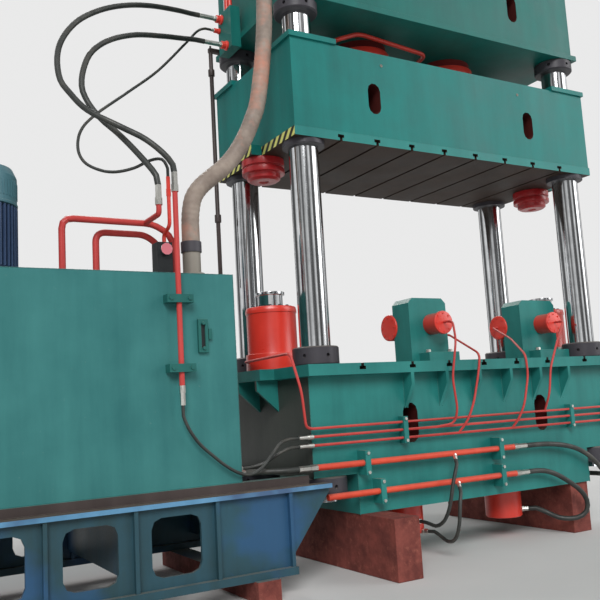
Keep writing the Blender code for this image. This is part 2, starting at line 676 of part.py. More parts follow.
def build_base(green):
    """Welded base with its T-slotted table, gussets and the end brackets."""
    bm = bmesh.new()
    add_prism(bm, base_outline(), "Y", -BASE_HALF_W, BASE_HALF_W)
    base = mesh_from("base", bm, green)

    joined = bmesh.new()
    ends = BRACKET_HALF_W
    plate = [(-TABLE_HALF_L, -TABLE_HALF_W), (TABLE_HALF_L, -TABLE_HALF_W), (TABLE_HALF_L, -ends),
             (BRACKET_REACH, -ends), (BRACKET_REACH, ends), (TABLE_HALF_L, ends),
             (TABLE_HALF_L, TABLE_HALF_W), (-TABLE_HALF_L, TABLE_HALF_W), (-TABLE_HALF_L, ends),
             (-BRACKET_REACH, ends), (-BRACKET_REACH, -ends), (-TABLE_HALF_L, -ends)]
    add_prism(joined, plate, "Z", TABLE_LOW_Z, TABLE_Z)
    boolean(base, joined, "UNION", "table_plate_shape")

    ribs = bmesh.new()
    sink = GUSSET_T
    for side in (-1, 1):
        triangle = [(side * (BASE_HALF_W - sink), TABLE_LOW_Z + sink),
                    (side * (TABLE_HALF_W - STRAIGHT), TABLE_LOW_Z + sink),
                    (side * (TABLE_HALF_W - STRAIGHT), TABLE_LOW_Z - GUSSET_NOSE),
                    (side * BASE_HALF_W, TABLE_LOW_Z - GUSSET_H),
                    (side * (BASE_HALF_W - sink), TABLE_LOW_Z - GUSSET_H)]
        for x in GUSSET_X:
            add_prism(ribs, triangle, "X", x - GUSSET_T / 2, x + GUSSET_T / 2)
        wing = [(side * (BASE_HALF_L - sink), TABLE_LOW_Z + sink),
                (side * (BRACKET_REACH - STRAIGHT), TABLE_LOW_Z + sink),
                (side * (BRACKET_REACH - STRAIGHT), TABLE_LOW_Z - BRACKET_RIB_NOSE),
                (side * BASE_HALF_L, TABLE_LOW_Z - BRACKET_RIB_H),
                (side * (BASE_HALF_L - sink), TABLE_LOW_Z - BRACKET_RIB_H)]
        for y in (-BRACKET_RIB_Y, BRACKET_RIB_Y):
            add_prism(ribs, wing, "Y", y - GUSSET_T / 2, y + GUSSET_T / 2)
    boolean(base, ribs, "UNION", "gusset_shapes")

    port = bmesh.new()
    add_fitting(port, (BASE_DEEP_HALF_L, *RIGHT_UPPER_HOSE[-1][1:]), RIGHT_UPPER_HOSE[-1], FERRULE_D)
    boolean(base, port, "UNION", "base_port")

    cuts = bmesh.new()
    for x in TABLE_SLOT_X:
        add_prism(cuts, tee(x, TABLE_Z, -1), "Y", -TABLE_HALF_W - GAP, TABLE_HALF_W + GAP)
    window_z = TABLE_LOW_Z - BASE_OVAL_DROP
    add_windows(cuts, BASE_OVAL_X, window_z, BASE_OVAL_W, BASE_OVAL_H, BASE_HALF_W)
    for x, y in COLUMNS.values():
        bore = disc_profile(COLUMN_D + 2 * GAP, BASE_END_Z - BORE_EXTRA, TABLE_Z + BORE_EXTRA)
        add_turned(cuts, bore, (x, y, 0))
    for x, y in ejector_places().values():
        bore = disc_profile(EJECTOR_ROD_D + 2 * BUSH_CLEARANCE, BASE_LOW_Z - BORE_EXTRA, TABLE_Z + BORE_EXTRA)
        add_turned(cuts, bore, (x, y, 0))
    boolean(base, cuts, "DIFFERENCE", "base_cuts")


def add_windows(bm, x, z, width, height, half_depth):
    """Oval pockets near both ends of the front and back faces."""
    for side in (-1, 1):
        for face in (-1, 1):
            ends = sorted((face * (half_depth - POCKET_DEPTH), face * (half_depth + GAP)))
            add_prism(bm, oval(width, height, (side * x, z)), "Y", *ends)


def ejector_places():
    return {"left": (-EJECTOR_X, -EJECTOR_Y), "right": (EJECTOR_X, -EJECTOR_Y)}


def column_ends():
    """Lowest and highest point of every column, past the nuts at both ends."""
    return BASE_END_Z - GAP - NUT_H - COLUMN_END, CROWN_TOP_Z + GAP + NUT_H + COLUMN_END


def build_columns(chrome):
    """The four chromed columns, each with the four nuts that clamp base and crown to it."""
    low, high = column_ends()
    r = COLUMN_D / 2
    nut_r = NUT_D / 2
    stacks = ((BASE_END_Z - GAP - NUT_H, NUT_H), (TABLE_Z + GAP, NUT_H),
              (CROWN_BOTTOM_Z - GAP - CROWN_NUT_H, CROWN_NUT_H), (CROWN_TOP_Z + GAP, NUT_H))
    profile = [(0, low), (r, low)]
    for z, height in stacks:
        profile += [(r, z), (nut_r, z), (nut_r, z + height), (r, z + height)]
    profile += [(r, high), (0, high)]
    for corner, (x, y) in COLUMNS.items():
        bm = bmesh.new()
        add_turned(bm, profile)
        column = mesh_from("column_" + corner, bm, chrome, (x, y, 0), smooth=True)
        holes = bmesh.new()
        for z, height in stacks:
            drill = disc_profile(NUT_HOLE_D, -nut_r - GAP, NUT_HOLE_DEPTH - nut_r)
            add_turned(holes, drill, (0, 0, z + height / 2), axis="Y", sides=6)
        boolean(column, holes, "DIFFERENCE", "spanner_holes_" + corner)


def build_slide(green):
    """The moving slide: a welded box with corner pads, guide bushes, T-slots and end lugs."""
    bm = bmesh.new()
    low = SLIDE_BOTTOM_Z
    wide = SLIDE_HALF_L + SLIDE_PLATE_LIP
    deep = SLIDE_HALF_W + SLIDE_PLATE_LIP
    step = low + SLIDE_PLATE_T
    section = [(-deep, low), (deep, low), (deep, step), (SLIDE_HALF_W, step),
               (SLIDE_HALF_W, SLIDE_TOP_Z), (-SLIDE_HALF_W, SLIDE_TOP_Z),
               (-SLIDE_HALF_W, step), (-deep, step)]
    add_prism(bm, section, "X", -SLIDE_HALF_L, SLIDE_HALF_L)
    slide = mesh_from("slide", bm, green)

    extra = bmesh.new()
    for side in (-1, 1):
        xs = sorted((side * wide, side * (SLIDE_HALF_L - SLIDE_PLATE_LIP)))
        add_box(extra, (xs[0], -deep, low), (xs[1], deep, step))
    boolean(slide, extra, "UNION", "slide_plate_edges")

    more = bmesh.new()
    for side in (-1, 1):
        outer = SLIDE_HALF_L + PAD_LIP
        xs = sorted((side * outer, side * (outer - PAD_L)))
        for face in (-1, 1):
            front = SLIDE_HALF_W + PAD_LIP
            ys = sorted((face * front, face * (front - PAD_W)))
            add_box(more, (xs[0], ys[0], SLIDE_TOP_Z - STRAIGHT), (xs[1], ys[1], SLIDE_TOP_Z + PAD_T))
        xs = sorted((side * (wide + LUG_OUT), side * SLIDE_HALF_L))
        add_box(more, (xs[0], -LUG_HALF_W, low + STRAIGHT), (xs[1], LUG_HALF_W, low + LUG_H))
    boolean(slide, more, "UNION", "slide_pads_and_lugs")

    flanges = bmesh.new()
    for x, y in COLUMNS.values():
        add_turned(flanges, disc_profile(BUSH_FLANGE_D, low - BUSH_FLANGE_T, low + STRAIGHT), (x, y, 0))
        collar = disc_profile(bush_outer(), SLIDE_TOP_Z, SLIDE_TOP_Z + PAD_T + BUSH_LIP)
        add_turned(flanges, collar, (x, y, 0))
    boolean(slide, flanges, "UNION", "guide_bush_shapes")

    cuts = bmesh.new()
    for k in range(SLIDE_SLOT_COUNT):
        x = (k - (SLIDE_SLOT_COUNT - 1) / 2) * SLIDE_SLOT_PITCH
        add_prism(cuts, tee(x, low, 1), "Y", -deep - GAP, deep + GAP)
    window_z = (low + SLIDE_TOP_Z) / 2
    add_windows(cuts, SLIDE_OVAL_X, window_z, SLIDE_OVAL_W, SLIDE_OVAL_H, SLIDE_HALF_W)
    bore = disc_profile(COLUMN_D + 2 * BUSH_CLEARANCE, low - BUSH_FLANGE_T - BORE_EXTRA,
                        SLIDE_TOP_Z + PAD_T + BUSH_LIP + BORE_EXTRA)
    for x, y in COLUMNS.values():
        add_turned(cuts, bore, (x, y, 0))
    boolean(slide, cuts, "DIFFERENCE", "slide_cuts")


def bush_outer():
    """Outside of the guide bushes, which run on the columns with a clearance."""
    return COLUMN_D + 2 * (BUSH_CLEARANCE + BUSH_WALL)


def build_strikes(red):
    """The stepped strike pad under each end of the slide."""
    top = -GAP
    rim = top - STRIKE_RIM_T
    r = STRIKE_D / 2
    profile = [(0, top), (r, top), (r, rim), (r - STRIKE_GROOVE, rim),
               (r - STRIKE_GROOVE, rim - STRIKE_GROOVE), (r, rim - STRIKE_GROOVE),
               (r, rim - STRIKE_RIM_T), (STRIKE_STEP_D / 2, rim - STRIKE_RIM_T),
               (STRIKE_STEP_D / 2, top - STRIKE_H + STRIKE_GROOVE), (STRIKE_NOSE_D / 2, top - STRIKE_H),
               (0, top - STRIKE_H)]
    for side, word in ((-1, "left"), (1, "right")):
        bm = bmesh.new()
        add_turned(bm, profile)
        mesh_from("strike_pad_" + word, bm, red, (side * STRIKE_X, 0, SLIDE_BOTTOM_Z), smooth=True)


def build_buffers(red, chrome):
    """A buffer cylinder at each end of the table, with the plunger that the strike pad meets."""
    floor = TABLE_Z + GAP
    r = BUFFER_D / 2
    bore = PLUNGER_D / 2 + BUSH_CLEARANCE
    sunk = BUFFER_H - PLUNGER_SUNK - PLUNGER_STROKE - BORE_EXTRA
    lip = 0.25 * BUFFER_BAND_H
    body = [(0, 0), (BUFFER_FOOT_D / 2, 0), (BUFFER_FOOT_D / 2, BUFFER_FOOT_H), (r, BUFFER_FOOT_H),
            (r, BUFFER_H - 2 * BUFFER_BAND_H), (r + lip, BUFFER_H - 2 * BUFFER_BAND_H),
            (r + lip, BUFFER_H - BUFFER_BAND_H), (r, BUFFER_H), (bore, BUFFER_H), (bore, sunk), (0, sunk)]
    head = BUFFER_H + PLUNGER_OUT
    plunger = [(0, BUFFER_H - PLUNGER_SUNK), (PLUNGER_D / 2, BUFFER_H - PLUNGER_SUNK),
               (PLUNGER_D / 2, head - PLUNGER_HEAD_H), (PLUNGER_HEAD_D / 2, head - PLUNGER_HEAD_H),
               (PLUNGER_HEAD_D / 2, head), (0, head)]
    for side, word in ((-1, "left"), (1, "right")):
        bm = bmesh.new()
        add_turned(bm, body)
        mesh_from("buffer_cylinder_" + word, bm, red, (side * STRIKE_X, 0, floor), smooth=True)
        bm = bmesh.new()
        add_turned(bm, plunger)
        mesh_from("buffer_plunger_" + word, bm, chrome, (side * STRIKE_X, 0, floor), smooth=True)


def build_crown(green):
    """The welded crown, with projecting plates below and above."""
    bm = bmesh.new()
    y0 = CROWN_HALF_W
    y1 = CROWN_HALF_W + CROWN_LIP * 0.7
    low = CROWN_BOTTOM_Z
    high = CROWN_TOP_Z
    t = CROWN_PLATE_T
    section = [(-y1, low), (y1, low), (y1, low + t), (y0, low + t), (y0, high - t), (y1, high - t),
               (y1, high), (-y1, high), (-y1, high - t), (-y0, high - t), (-y0, low + t), (-y1, low + t)]
    add_prism(bm, section, "X", -CROWN_HALF_L, CROWN_HALF_L)
    crown = mesh_from("crown", bm, green)

    edges = bmesh.new()
    for side in (-1, 1):
        xs = sorted((side * (CROWN_HALF_L + CROWN_LIP), side * (CROWN_HALF_L - CROWN_LIP)))
        for z in (low, high - t):
            add_box(edges, (xs[0], -y1, z), (xs[1], y1, z + t))
    boolean(crown, edges, "UNION", "crown_plate_edges")

    cuts = bmesh.new()
    add_windows(cuts, CROWN_OVAL_X, low + CROWN_OVAL_UP, CROWN_OVAL_W, CROWN_OVAL_H, CROWN_HALF_W)
    for x, y in COLUMNS.values():
        add_turned(cuts, disc_profile(COLUMN_D + 2 * GAP, low - BORE_EXTRA, high + BORE_EXTRA), (x, y, 0))
    for side in (-1, 1):
        hole = disc_profile(CYLINDER_D + 2 * GAP, low - BORE_EXTRA, high + BORE_EXTRA)
        add_turned(cuts, hole, (side * RAM_X, 0, 0))
    boolean(crown, cuts, "DIFFERENCE", "crown_cuts")


def cylinder_heights():
    """Bottom face, bore top and top face of a main cylinder."""
    low = CROWN_BOTTOM_Z - CYLINDER_BELOW
    high = CROWN_TOP_Z + CYLINDER_ABOVE
    return low, high - CYLINDER_CAP_T, high


def build_main_cylinders(maroon, chrome, steel):
    """Main cylinders with their gland rings, the rams, and the joined prefill valves on top."""
    low, bore_top, high = cylinder_heights()
    r = CYLINDER_D / 2
    collar = r + CROWN_LIP
    gland = GLAND_D / 2
    rod_bore = RAM_D / 2 + BUSH_CLEARANCE
    barrel = [(0, bore_top), (CYLINDER_BORE_D / 2, bore_top), (CYLINDER_BORE_D / 2, low), (rod_bore, low),
              (rod_bore, low - GLAND_T), (gland - NUT_CHAMFER, low - GLAND_T),
              (gland, low - GLAND_T + NUT_CHAMFER), (gland, low), (r, low), (r, CROWN_TOP_Z + GAP),
              (collar, CROWN_TOP_Z + GAP), (collar, CROWN_TOP_Z + CROWN_PLATE_T),
              (r, CROWN_TOP_Z + CROWN_PLATE_T), (r, high), (0, high)]
    foot = SLIDE_TOP_Z + GAP
    head = ram_top()
    ram = [(0, foot), (RAM_FOOT_D / 2, foot), (RAM_FOOT_D / 2, foot + RAM_FOOT_T),
           (RAM_D / 2, foot + RAM_FOOT_T), (RAM_D / 2, head - PISTON_H),
           (CYLINDER_BORE_D / 2 - BUSH_CLEARANCE, head - PISTON_H),
           (CYLINDER_BORE_D / 2 - BUSH_CLEARANCE, head), (0, head)]
    for side, word in ((-1, "left"), (1, "right")):
        at = (side * RAM_X, 0, 0)
        bm = bmesh.new()
        add_turned(bm, barrel)
        mesh_from("main_cylinder_" + word, bm, maroon, at, smooth=True)
        bm = bmesh.new()
        add_turned(bm, ram)
        mesh_from("ram_" + word, bm, chrome, at, smooth=True)

    base = high + GAP
    valve = [(0, base), (HEAD_FLANGE_D / 2, base), (HEAD_FLANGE_D / 2, base + HEAD_FLANGE_T),
             (HEAD_D / 2, base + HEAD_FLANGE_T), (HEAD_D / 2, base + HEAD_H - HEAD_FLANGE_T),
             (HEAD_D / 2 - HEAD_FLANGE_T, base + HEAD_H), (0, base + HEAD_H)]
    bm = bmesh.new()
    for side in (-1, 1):
        add_turned(bm, valve, (side * RAM_X, 0, 0))
    valves = mesh_from("prefill_valves", bm, steel, smooth=True)
    pipe = bmesh.new()
    add_turned(pipe, disc_profile(CROSSOVER_D, -RAM_X, RAM_X), (0, 0, port_height()), axis="X",
               sides=SMALL_SIDES)
    boolean(valves, pipe, "UNION", "crossover_shape")


def ram_top():
    """Top of the piston, with room left above it for the slide's last rise."""
    return cylinder_heights()[1] - PISTON_H - BORE_EXTRA


def port_height():
    return cylinder_heights()[2] + GAP + HEAD_PORT_Z


def build_ejectors(red, chrome):
    """Ejector cylinders under the base, and the rods that rise through the table."""
    top = BASE_LOW_Z - GAP
    low = top - EJECTOR_H
    bore = EJECTOR_ROD_D / 2 + BUSH_CLEARANCE
    sunk = top - EJECTOR_ROD_SUNK - BORE_EXTRA
    r = EJECTOR_D / 2
    body = [(0, low), (r - NUT_CHAMFER, low), (r, low + NUT_CHAMFER), (r, top), (bore, top), (bore, sunk),
            (0, sunk)]
    rod = disc_profile(EJECTOR_ROD_D, top - EJECTOR_ROD_SUNK, TABLE_Z - EJECTOR_ROD_BELOW_TABLE)
    ports = {"left": (EJECTOR_HOSE_UPPER[-1], EJECTOR_HOSE_LOWER[-1]),
             "right": (RIGHT_LOWER_HOSE[-1],)}
    for word, (x, y) in ejector_places().items():
        bm = bmesh.new()
        add_turned(bm, body)
        cylinder = mesh_from("ejector_cylinder_" + word, bm, red, (x, y, 0), smooth=True)
        fittings = bmesh.new()
        for port in ports[word]:
            away = Vector((port[0] - x, port[1] - y, 0))
            seat = away.normalized() * (r * math.cos(math.pi / SIDES))
            add_fitting(fittings, (*seat.xy, port[2]), (*away.xy, port[2]), FERRULE_D)
        boolean(cylinder, fittings, "UNION", "ejector_fittings_" + word)
        bm = bmesh.new()
        add_turned(bm, rod)
        mesh_from("ejector_rod_" + word, bm, chrome, (x, y, 0), smooth=True)


def build_clamps(green, red, chrome):
    """Clamp blocks on the table with their front and side cylinders."""
    floor = TABLE_Z + GAP
    axis_z = floor + CYL_AXIS_H
    back = BLOCK_FRONT_Y + BLOCK_DEPTH
    side_y = back + SIDE_CYL_D / 4
    top = floor + BLOCK_H
    for x, half, cyl_x, word in zip(BLOCK_X, BLOCK_HALF_L, FRONT_CYL_X, ("left", "right")):
        left = x - half
        right = x + half
        bm = bmesh.new()
        outline = [(left, floor), (right, floor), (right, top - BLOCK_CHAMFER), (right - BLOCK_CHAMFER, top),
                   (left + BLOCK_CHAMFER, top), (left, top - BLOCK_CHAMFER)]
        add_prism(bm, outline, "Y", BLOCK_FRONT_Y, back)
        block = mesh_from("clamp_block_" + word, bm, green)
        toe = bmesh.new()
        front = BLOCK_FRONT_Y - BLOCK_FOOT_OUT
        toe_left = left + BLOCK_FOOT_BACK
        add_box(toe, (toe_left, front, floor), (right - ROOT, BLOCK_FRONT_Y + ROOT, floor + BLOCK_FOOT_H))
        boolean(block, toe, "UNION", "clamp_foot_" + word)
        heads = bmesh.new()
        for bolt_x in (toe_left + BOLT_D, right - BOLT_D):
            add_bolt(heads, (bolt_x, front + BLOCK_FOOT_OUT / 2, floor + BLOCK_FOOT_H), "Z", BOLT_D, BOLT_H)
        boolean(block, heads, "UNION", "clamp_bolts_" + word)
        saddle = bmesh.new()
        groove = disc_profile(SIDE_CYL_D + 2 * GAP, left - BORE_EXTRA, right + BORE_EXTRA)
        add_turned(saddle, groove, (0, side_y, axis_z), axis="X")
        boolean(block, saddle, "DIFFERENCE", "clamp_saddle_" + word)

        bm = bmesh.new()
        face = BLOCK_FRONT_Y - GAP
        tip = face - FRONT_CYL_L
        barrel = [(0, face), (FRONT_CYL_D / 2, face), (FRONT_CYL_D / 2, tip + FRONT_CAP_T),
                  (FRONT_CAP_D / 2, tip + FRONT_CAP_T), (FRONT_CAP_D / 2, tip), (0, tip)]
        add_turned(bm, barrel, axis="Y")
        mesh_from("front_cylinder_" + word, bm, red, (cyl_x, 0, axis_z), smooth=True)

        start = left - SIDE_CYL_OUT
        end = start + SIDE_CYL_L
        r = SIDE_CYL_D / 2
        bore = SIDE_ROD_D / 2 + BUSH_CLEARANCE
        sunk = end - SIDE_ROD_SUNK - BORE_EXTRA
        shell = [(0, start), (r - NUT_CHAMFER, start), (r, start + NUT_CHAMFER), (r, end), (bore, end),
                 (bore, sunk), (0, sunk)]
        bm = bmesh.new()
        add_turned(bm, shell, axis="X")
        mesh_from("side_cylinder_" + word, bm, red, (0, side_y, axis_z), smooth=True)
        bm = bmesh.new()
        add_turned(bm, disc_profile(SIDE_ROD_D, end - SIDE_ROD_SUNK, end + SIDE_ROD_OUT), axis="X")
        mesh_from("side_rod_" + word, bm, chrome, (0, side_y, axis_z), smooth=True)


def clamp_with_bolts(boxes, heads, x, z, height, width, front, back):
    """One clamp plate on the base front and the two bolt heads on it."""
    add_box(boxes, (x - width / 2, front, z - height / 2), (x + width / 2, back, z + height / 2))
    for turn in (-1, 1):
        lift = turn * (height / 2 - SMALL_BOLT_D * 0.7)
        add_bolt(heads, (x, front, z + lift), "Y", SMALL_BOLT_D, -SMALL_BOLT_H)


def drop_routes():
    """Bent pipes from the clamp cylinders down over the table edge to the thin pipes."""
    cap = BLOCK_FRONT_Y - GAP - FRONT_CYL_L - GAP
    axis_z = TABLE_Z + GAP + CYL_AXIS_H
    front = -TABLE_HALF_W - 1.5 * THIN_PIPE_D
    blocks = [x - half for x, half in zip(BLOCK_X, BLOCK_HALF_L)]
    side_y = BLOCK_FRONT_Y + BLOCK_DEPTH + SIDE_CYL_D / 4
    low = THIN_PIPE_Z
    return (
        [(FRONT_CYL_X[0], cap, axis_z), (FRONT_CYL_X[0], -0.80, axis_z), (-0.37, front, 2.02),
         (-0.45, front, 1.66), (-0.42, front, 1.36), (-0.42, -0.88, 1.235), (-0.60, PIPE_Y, low[1])],
        [(BLOCK_X[0] + BLOCK_HALF_L[0] + GAP, -0.40, 2.12), (0.02, -0.40, 2.12), (-0.08, front, 1.88),
         (-0.12, front, 1.70), (-0.21, front, 1.42), (-0.27, -0.90, 1.25), (-0.33, PIPE_Y, low[2])],
        [(blocks[1] - SIDE_CYL_OUT - GAP, side_y, axis_z), (0.90, side_y, axis_z), (0.74, -0.55, 2.06),
         (0.53, front, 1.86), (0.54, front, 1.66), (0.45, front, 1.36), (0.40, -0.89, 1.22),
         (0.37, PIPE_Y, low[2])],
        [(FRONT_CYL_X[1], cap, axis_z), (FRONT_CYL_X[1], -0.80, axis_z), (1.02, front, 2.02),
         (0.87, front, 1.72), (0.82, front, 1.46), (0.85, PIPE_Y, low[0])],
    )


def build_base_pipework(pink):
    """The thin pipes along the base front with their clamps, junction and drop pipes."""
    face = -BASE_HALF_W - GAP
    front = PIPE_Y - THIN_PIPE_D
    middle = THIN_PIPE_Z[1]
    boxes = bmesh.new()
    heads = bmesh.new()
    for x in CLAMP_X:
        clamp_with_bolts(boxes, heads, x, middle, CLAMP_H, CLAMP_W, front, face)
    add_box(boxes, (PIPE_RIGHT_X, front, middle - CLAMP_H / 2),
            (PIPE_RIGHT_X + JUNCTION_L, face, middle + CLAMP_H / 2))
    pipework = mesh_from("base_pipework", boxes, pink)

    pipes = bmesh.new()
    right = PIPE_RIGHT_X + ROOT
    top_run = [*bent_points([*BUFFER_PIPE, (PIPE_LEFT_X, PIPE_Y, THIN_PIPE_Z[0])], THIN_BEND),
               (right, PIPE_Y, THIN_PIPE_Z[0])]
    add_sweep(pipes, top_run, THIN_PIPE_D, THIN_SIDES)
    for z in THIN_PIPE_Z[1:]:
        add_sweep(pipes, [(PIPE_LEFT_X, PIPE_Y, z), (right, PIPE_Y, z)], THIN_PIPE_D, THIN_SIDES)
    boolean(pipework, pipes, "UNION", "thin_pipe_shapes")

    drops = bmesh.new()
    for route in drop_routes():
        add_sweep(drops, bent_points(route, THIN_BEND), DROP_PIPE_D, THIN_SIDES)
    boolean(pipework, drops, "UNION", "drop_pipe_shapes")

    small = THIN_PIPE_D * 1.8
    add_fitting(heads, (PIPE_LEFT_X, PIPE_Y, THIN_PIPE_Z[1]), TANK_HOSE[-1], small)
    add_fitting(heads, (PIPE_LEFT_X, PIPE_Y, THIN_PIPE_Z[2]), SIDE_HOSE[0], small)
    boolean(pipework, heads, "UNION", "pipework_bolts_and_fittings")


def build_thick_pipes(orange):
    """The two thick pipes along the base front, each with clamps, end fittings and a tee."""
    face = -BASE_HALF_W - GAP
    front = THICK_PIPE_Y - THICK_PIPE_D * 0.7
    rows = (("upper", PIPE_LEFT_X, THICK_LEFT_HOSE[0], RIGHT_UPPER_HOSE[0], EJECTOR_HOSE_UPPER[0]),
            ("lower", LOW_PIPE_LEFT_X, None, RIGHT_LOWER_HOSE[0], EJECTOR_HOSE_LOWER[0]))
    for row, (word, left, left_end, right_end, tee_end) in enumerate(rows):
        z = THICK_PIPE_Z[row]
        boxes = bmesh.new()
        extras = bmesh.new()
        for x, which in THICK_CLAMPS:
            if which == row:
                clamp_with_bolts(boxes, extras, x, z, THICK_CLAMP_H, THICK_CLAMP_W, front, face)
        pipe = mesh_from("thick_pipe_" + word, boxes, orange)
        bar = bmesh.new()
        add_sweep(bar, [(left, THICK_PIPE_Y, z), (THICK_RIGHT_X, THICK_PIPE_Y, z)], THICK_PIPE_D, SMALL_SIDES)
        boolean(pipe, bar, "UNION", "thick_pipe_shape_" + word)
        add_fitting(extras, (THICK_RIGHT_X, THICK_PIPE_Y, z), right_end, FERRULE_D)
        if left_end is not None:
            add_fitting(extras, (left, THICK_PIPE_Y, z), left_end, FERRULE_D)
        root = Vector(tee_end) - Vector((tee_end[0] + TEE_LEAN, THICK_PIPE_Y, z))
        seat = Vector(tee_end) - root.normalized() * (root.length - THICK_PIPE_D * 0.45)
        add_fitting(extras, seat, tee_end, MID_HOSE_D * 1.3)
        boolean(pipe, extras, "UNION", "thick_pipe_extras_" + word)


def build_crown_piping(red, pink):
    """The manifold on the crown's left side with its pipes, and the pipe between the glands."""
    wall = -(CROWN_HALF_L + CROWN_LIP) - GAP
    out = wall - MANIFOLD_OUT
    y0 = MANIFOLD_Y - MANIFOLD_W / 2
    y1 = MANIFOLD_Y + MANIFOLD_W / 2
    z0 = MANIFOLD_Z - MANIFOLD_H / 2
    z1 = MANIFOLD_Z + MANIFOLD_H / 2
    bm = bmesh.new()
    add_box(bm, (out, y0, z0), (wall, y1, z1))
    manifold = mesh_from("crown_manifold", bm, red)
    x = wall - MANIFOLD_OUT / 2
    top = CROWN_TOP_Z + GAP
    high = top + CROWN_PIPE_RISE
    extras = bmesh.new()
    for y, landing in ((MANIFOLD_Y - CROWN_PIPE_APART / 2, CROWN_PIPE_LANDINGS[0]),
                       (MANIFOLD_Y + CROWN_PIPE_APART / 2, CROWN_PIPE_LANDINGS[1])):
        route = [(x, y, z1 - ROOT), (x, y, high), (landing, y, high), (landing, y, top)]
        add_sweep(extras, bent_points(route, CROWN_PIPE_BEND), RISER_D)
    add_fitting(extras, (out, *LOOP_OUTER[0][1:]), LOOP_OUTER[0], FERRULE_D)
    add_fitting(extras, (out, *LOOP_INNER[0][1:]), LOOP_INNER[0], FERRULE_D)
    add_fitting(extras, (out, *LOOP_SLIM[0][1:]), LOOP_SLIM[0], SLIM_FERRULE_D)
    boolean(manifold, extras, "UNION", "manifold_pipes_and_fittings")
    tube("under_crown_pipe", [bent_points(UNDER_CROWN_PIPE, PIPE_BEND)], RISER_D, pink)


def build_frame(web_blue):
    """The power unit's welded frame: windowed side beams, cross members and sleepers."""
    low = FRAME_LOW_Z
    foot = low + FRAME_FOOT_T
    under = FRAME_TOP_Z - FRAME_FLANGE_T
    top = FRAME_TOP_Z
    bm = bmesh.new()
    half_web = FRAME_WEB_T / 2
    half_flange = FRAME_FLANGE_W / 2
    toe = FRAME_LAST_RIB_X + FRAME_RIB_T
    left = UNIT_LEFT_X + STRAIGHT
    right = FRAME_RIGHT_X - STRAIGHT
    profile = [(left, low + STRAIGHT), (toe, low + STRAIGHT), (toe, low + FRAME_TOE_H),
               (right, under - FRAME_NOSE_H), (right, top - STRAIGHT), (left, top - STRAIGHT)]
    for side in (-1, 1):
        add_prism(bm, profile, "Y", side * FRAME_Y - half_web, side * FRAME_Y + half_web)
    frame = mesh_from("power_frame", bm, web_blue)

    flanges = bmesh.new()
    for side in (-1, 1):
        y0 = side * FRAME_Y - half_flange
        y1 = side * FRAME_Y + half_flange
        add_box(flanges, (UNIT_LEFT_X, y0, under), (FRAME_RIGHT_X, y1, top))
        add_box(flanges, (UNIT_LEFT_X, y0, low), (toe + STRAIGHT, y1, foot))
    boolean(frame, flanges, "UNION", "frame_flanges")

    ribs = bmesh.new()
    for k in range(FRAME_RIBS):
        x = FRAME_LAST_RIB_X - k * FRAME_PITCH
        reach = half_flange - RAIL_WALL
        for side in (-1, 1):
            add_box(ribs, (x - FRAME_RIB_T / 2, side * FRAME_Y - reach, foot - STRAIGHT),
                    (x + FRAME_RIB_T / 2, side * FRAME_Y + reach, under + STRAIGHT))
    boolean(frame, ribs, "UNION", "frame_ribs")

    ties = bmesh.new()
    places = [FRAME_LAST_RIB_X - k * FRAME_PITCH for k in range(2, FRAME_RIBS, 2)]
    for x in (FRAME_LAST_RIB_X - CROSS_T, *places, UNIT_LEFT_X + CROSS_T):
        add_box(ties, (x - CROSS_T / 2, -FRAME_Y, foot + CROSS_T),
                (x + CROSS_T / 2, FRAME_Y, top - STRAIGHT / 2))
    boolean(frame, ties, "UNION", "frame_ties")

    sleepers = bmesh.new()
    for x in SLEEPER_X:
        add_box(sleepers, (x - SLEEPER_W / 2, -SLEEPER_REACH, 0),
                (x + SLEEPER_W / 2, SLEEPER_REACH, SLEEPER_H + ROOT))
    boolean(frame, sleepers, "UNION", "sleeper_shapes")

    windows = bmesh.new()
    middle = (foot + under) / 2
    for k in range(1, FRAME_RIBS):
        x = FRAME_LAST_RIB_X - (k + 0.5) * FRAME_PITCH
        for side in (-1, 1):
            ends = (side * FRAME_Y - FRAME_WEB_T, side * FRAME_Y + FRAME_WEB_T)
            add_prism(windows, rounded(WINDOW_L, WINDOW_H, WINDOW_R, (x, middle)), "Y", *ends)
    boolean(frame, windows, "DIFFERENCE", "frame_windows")


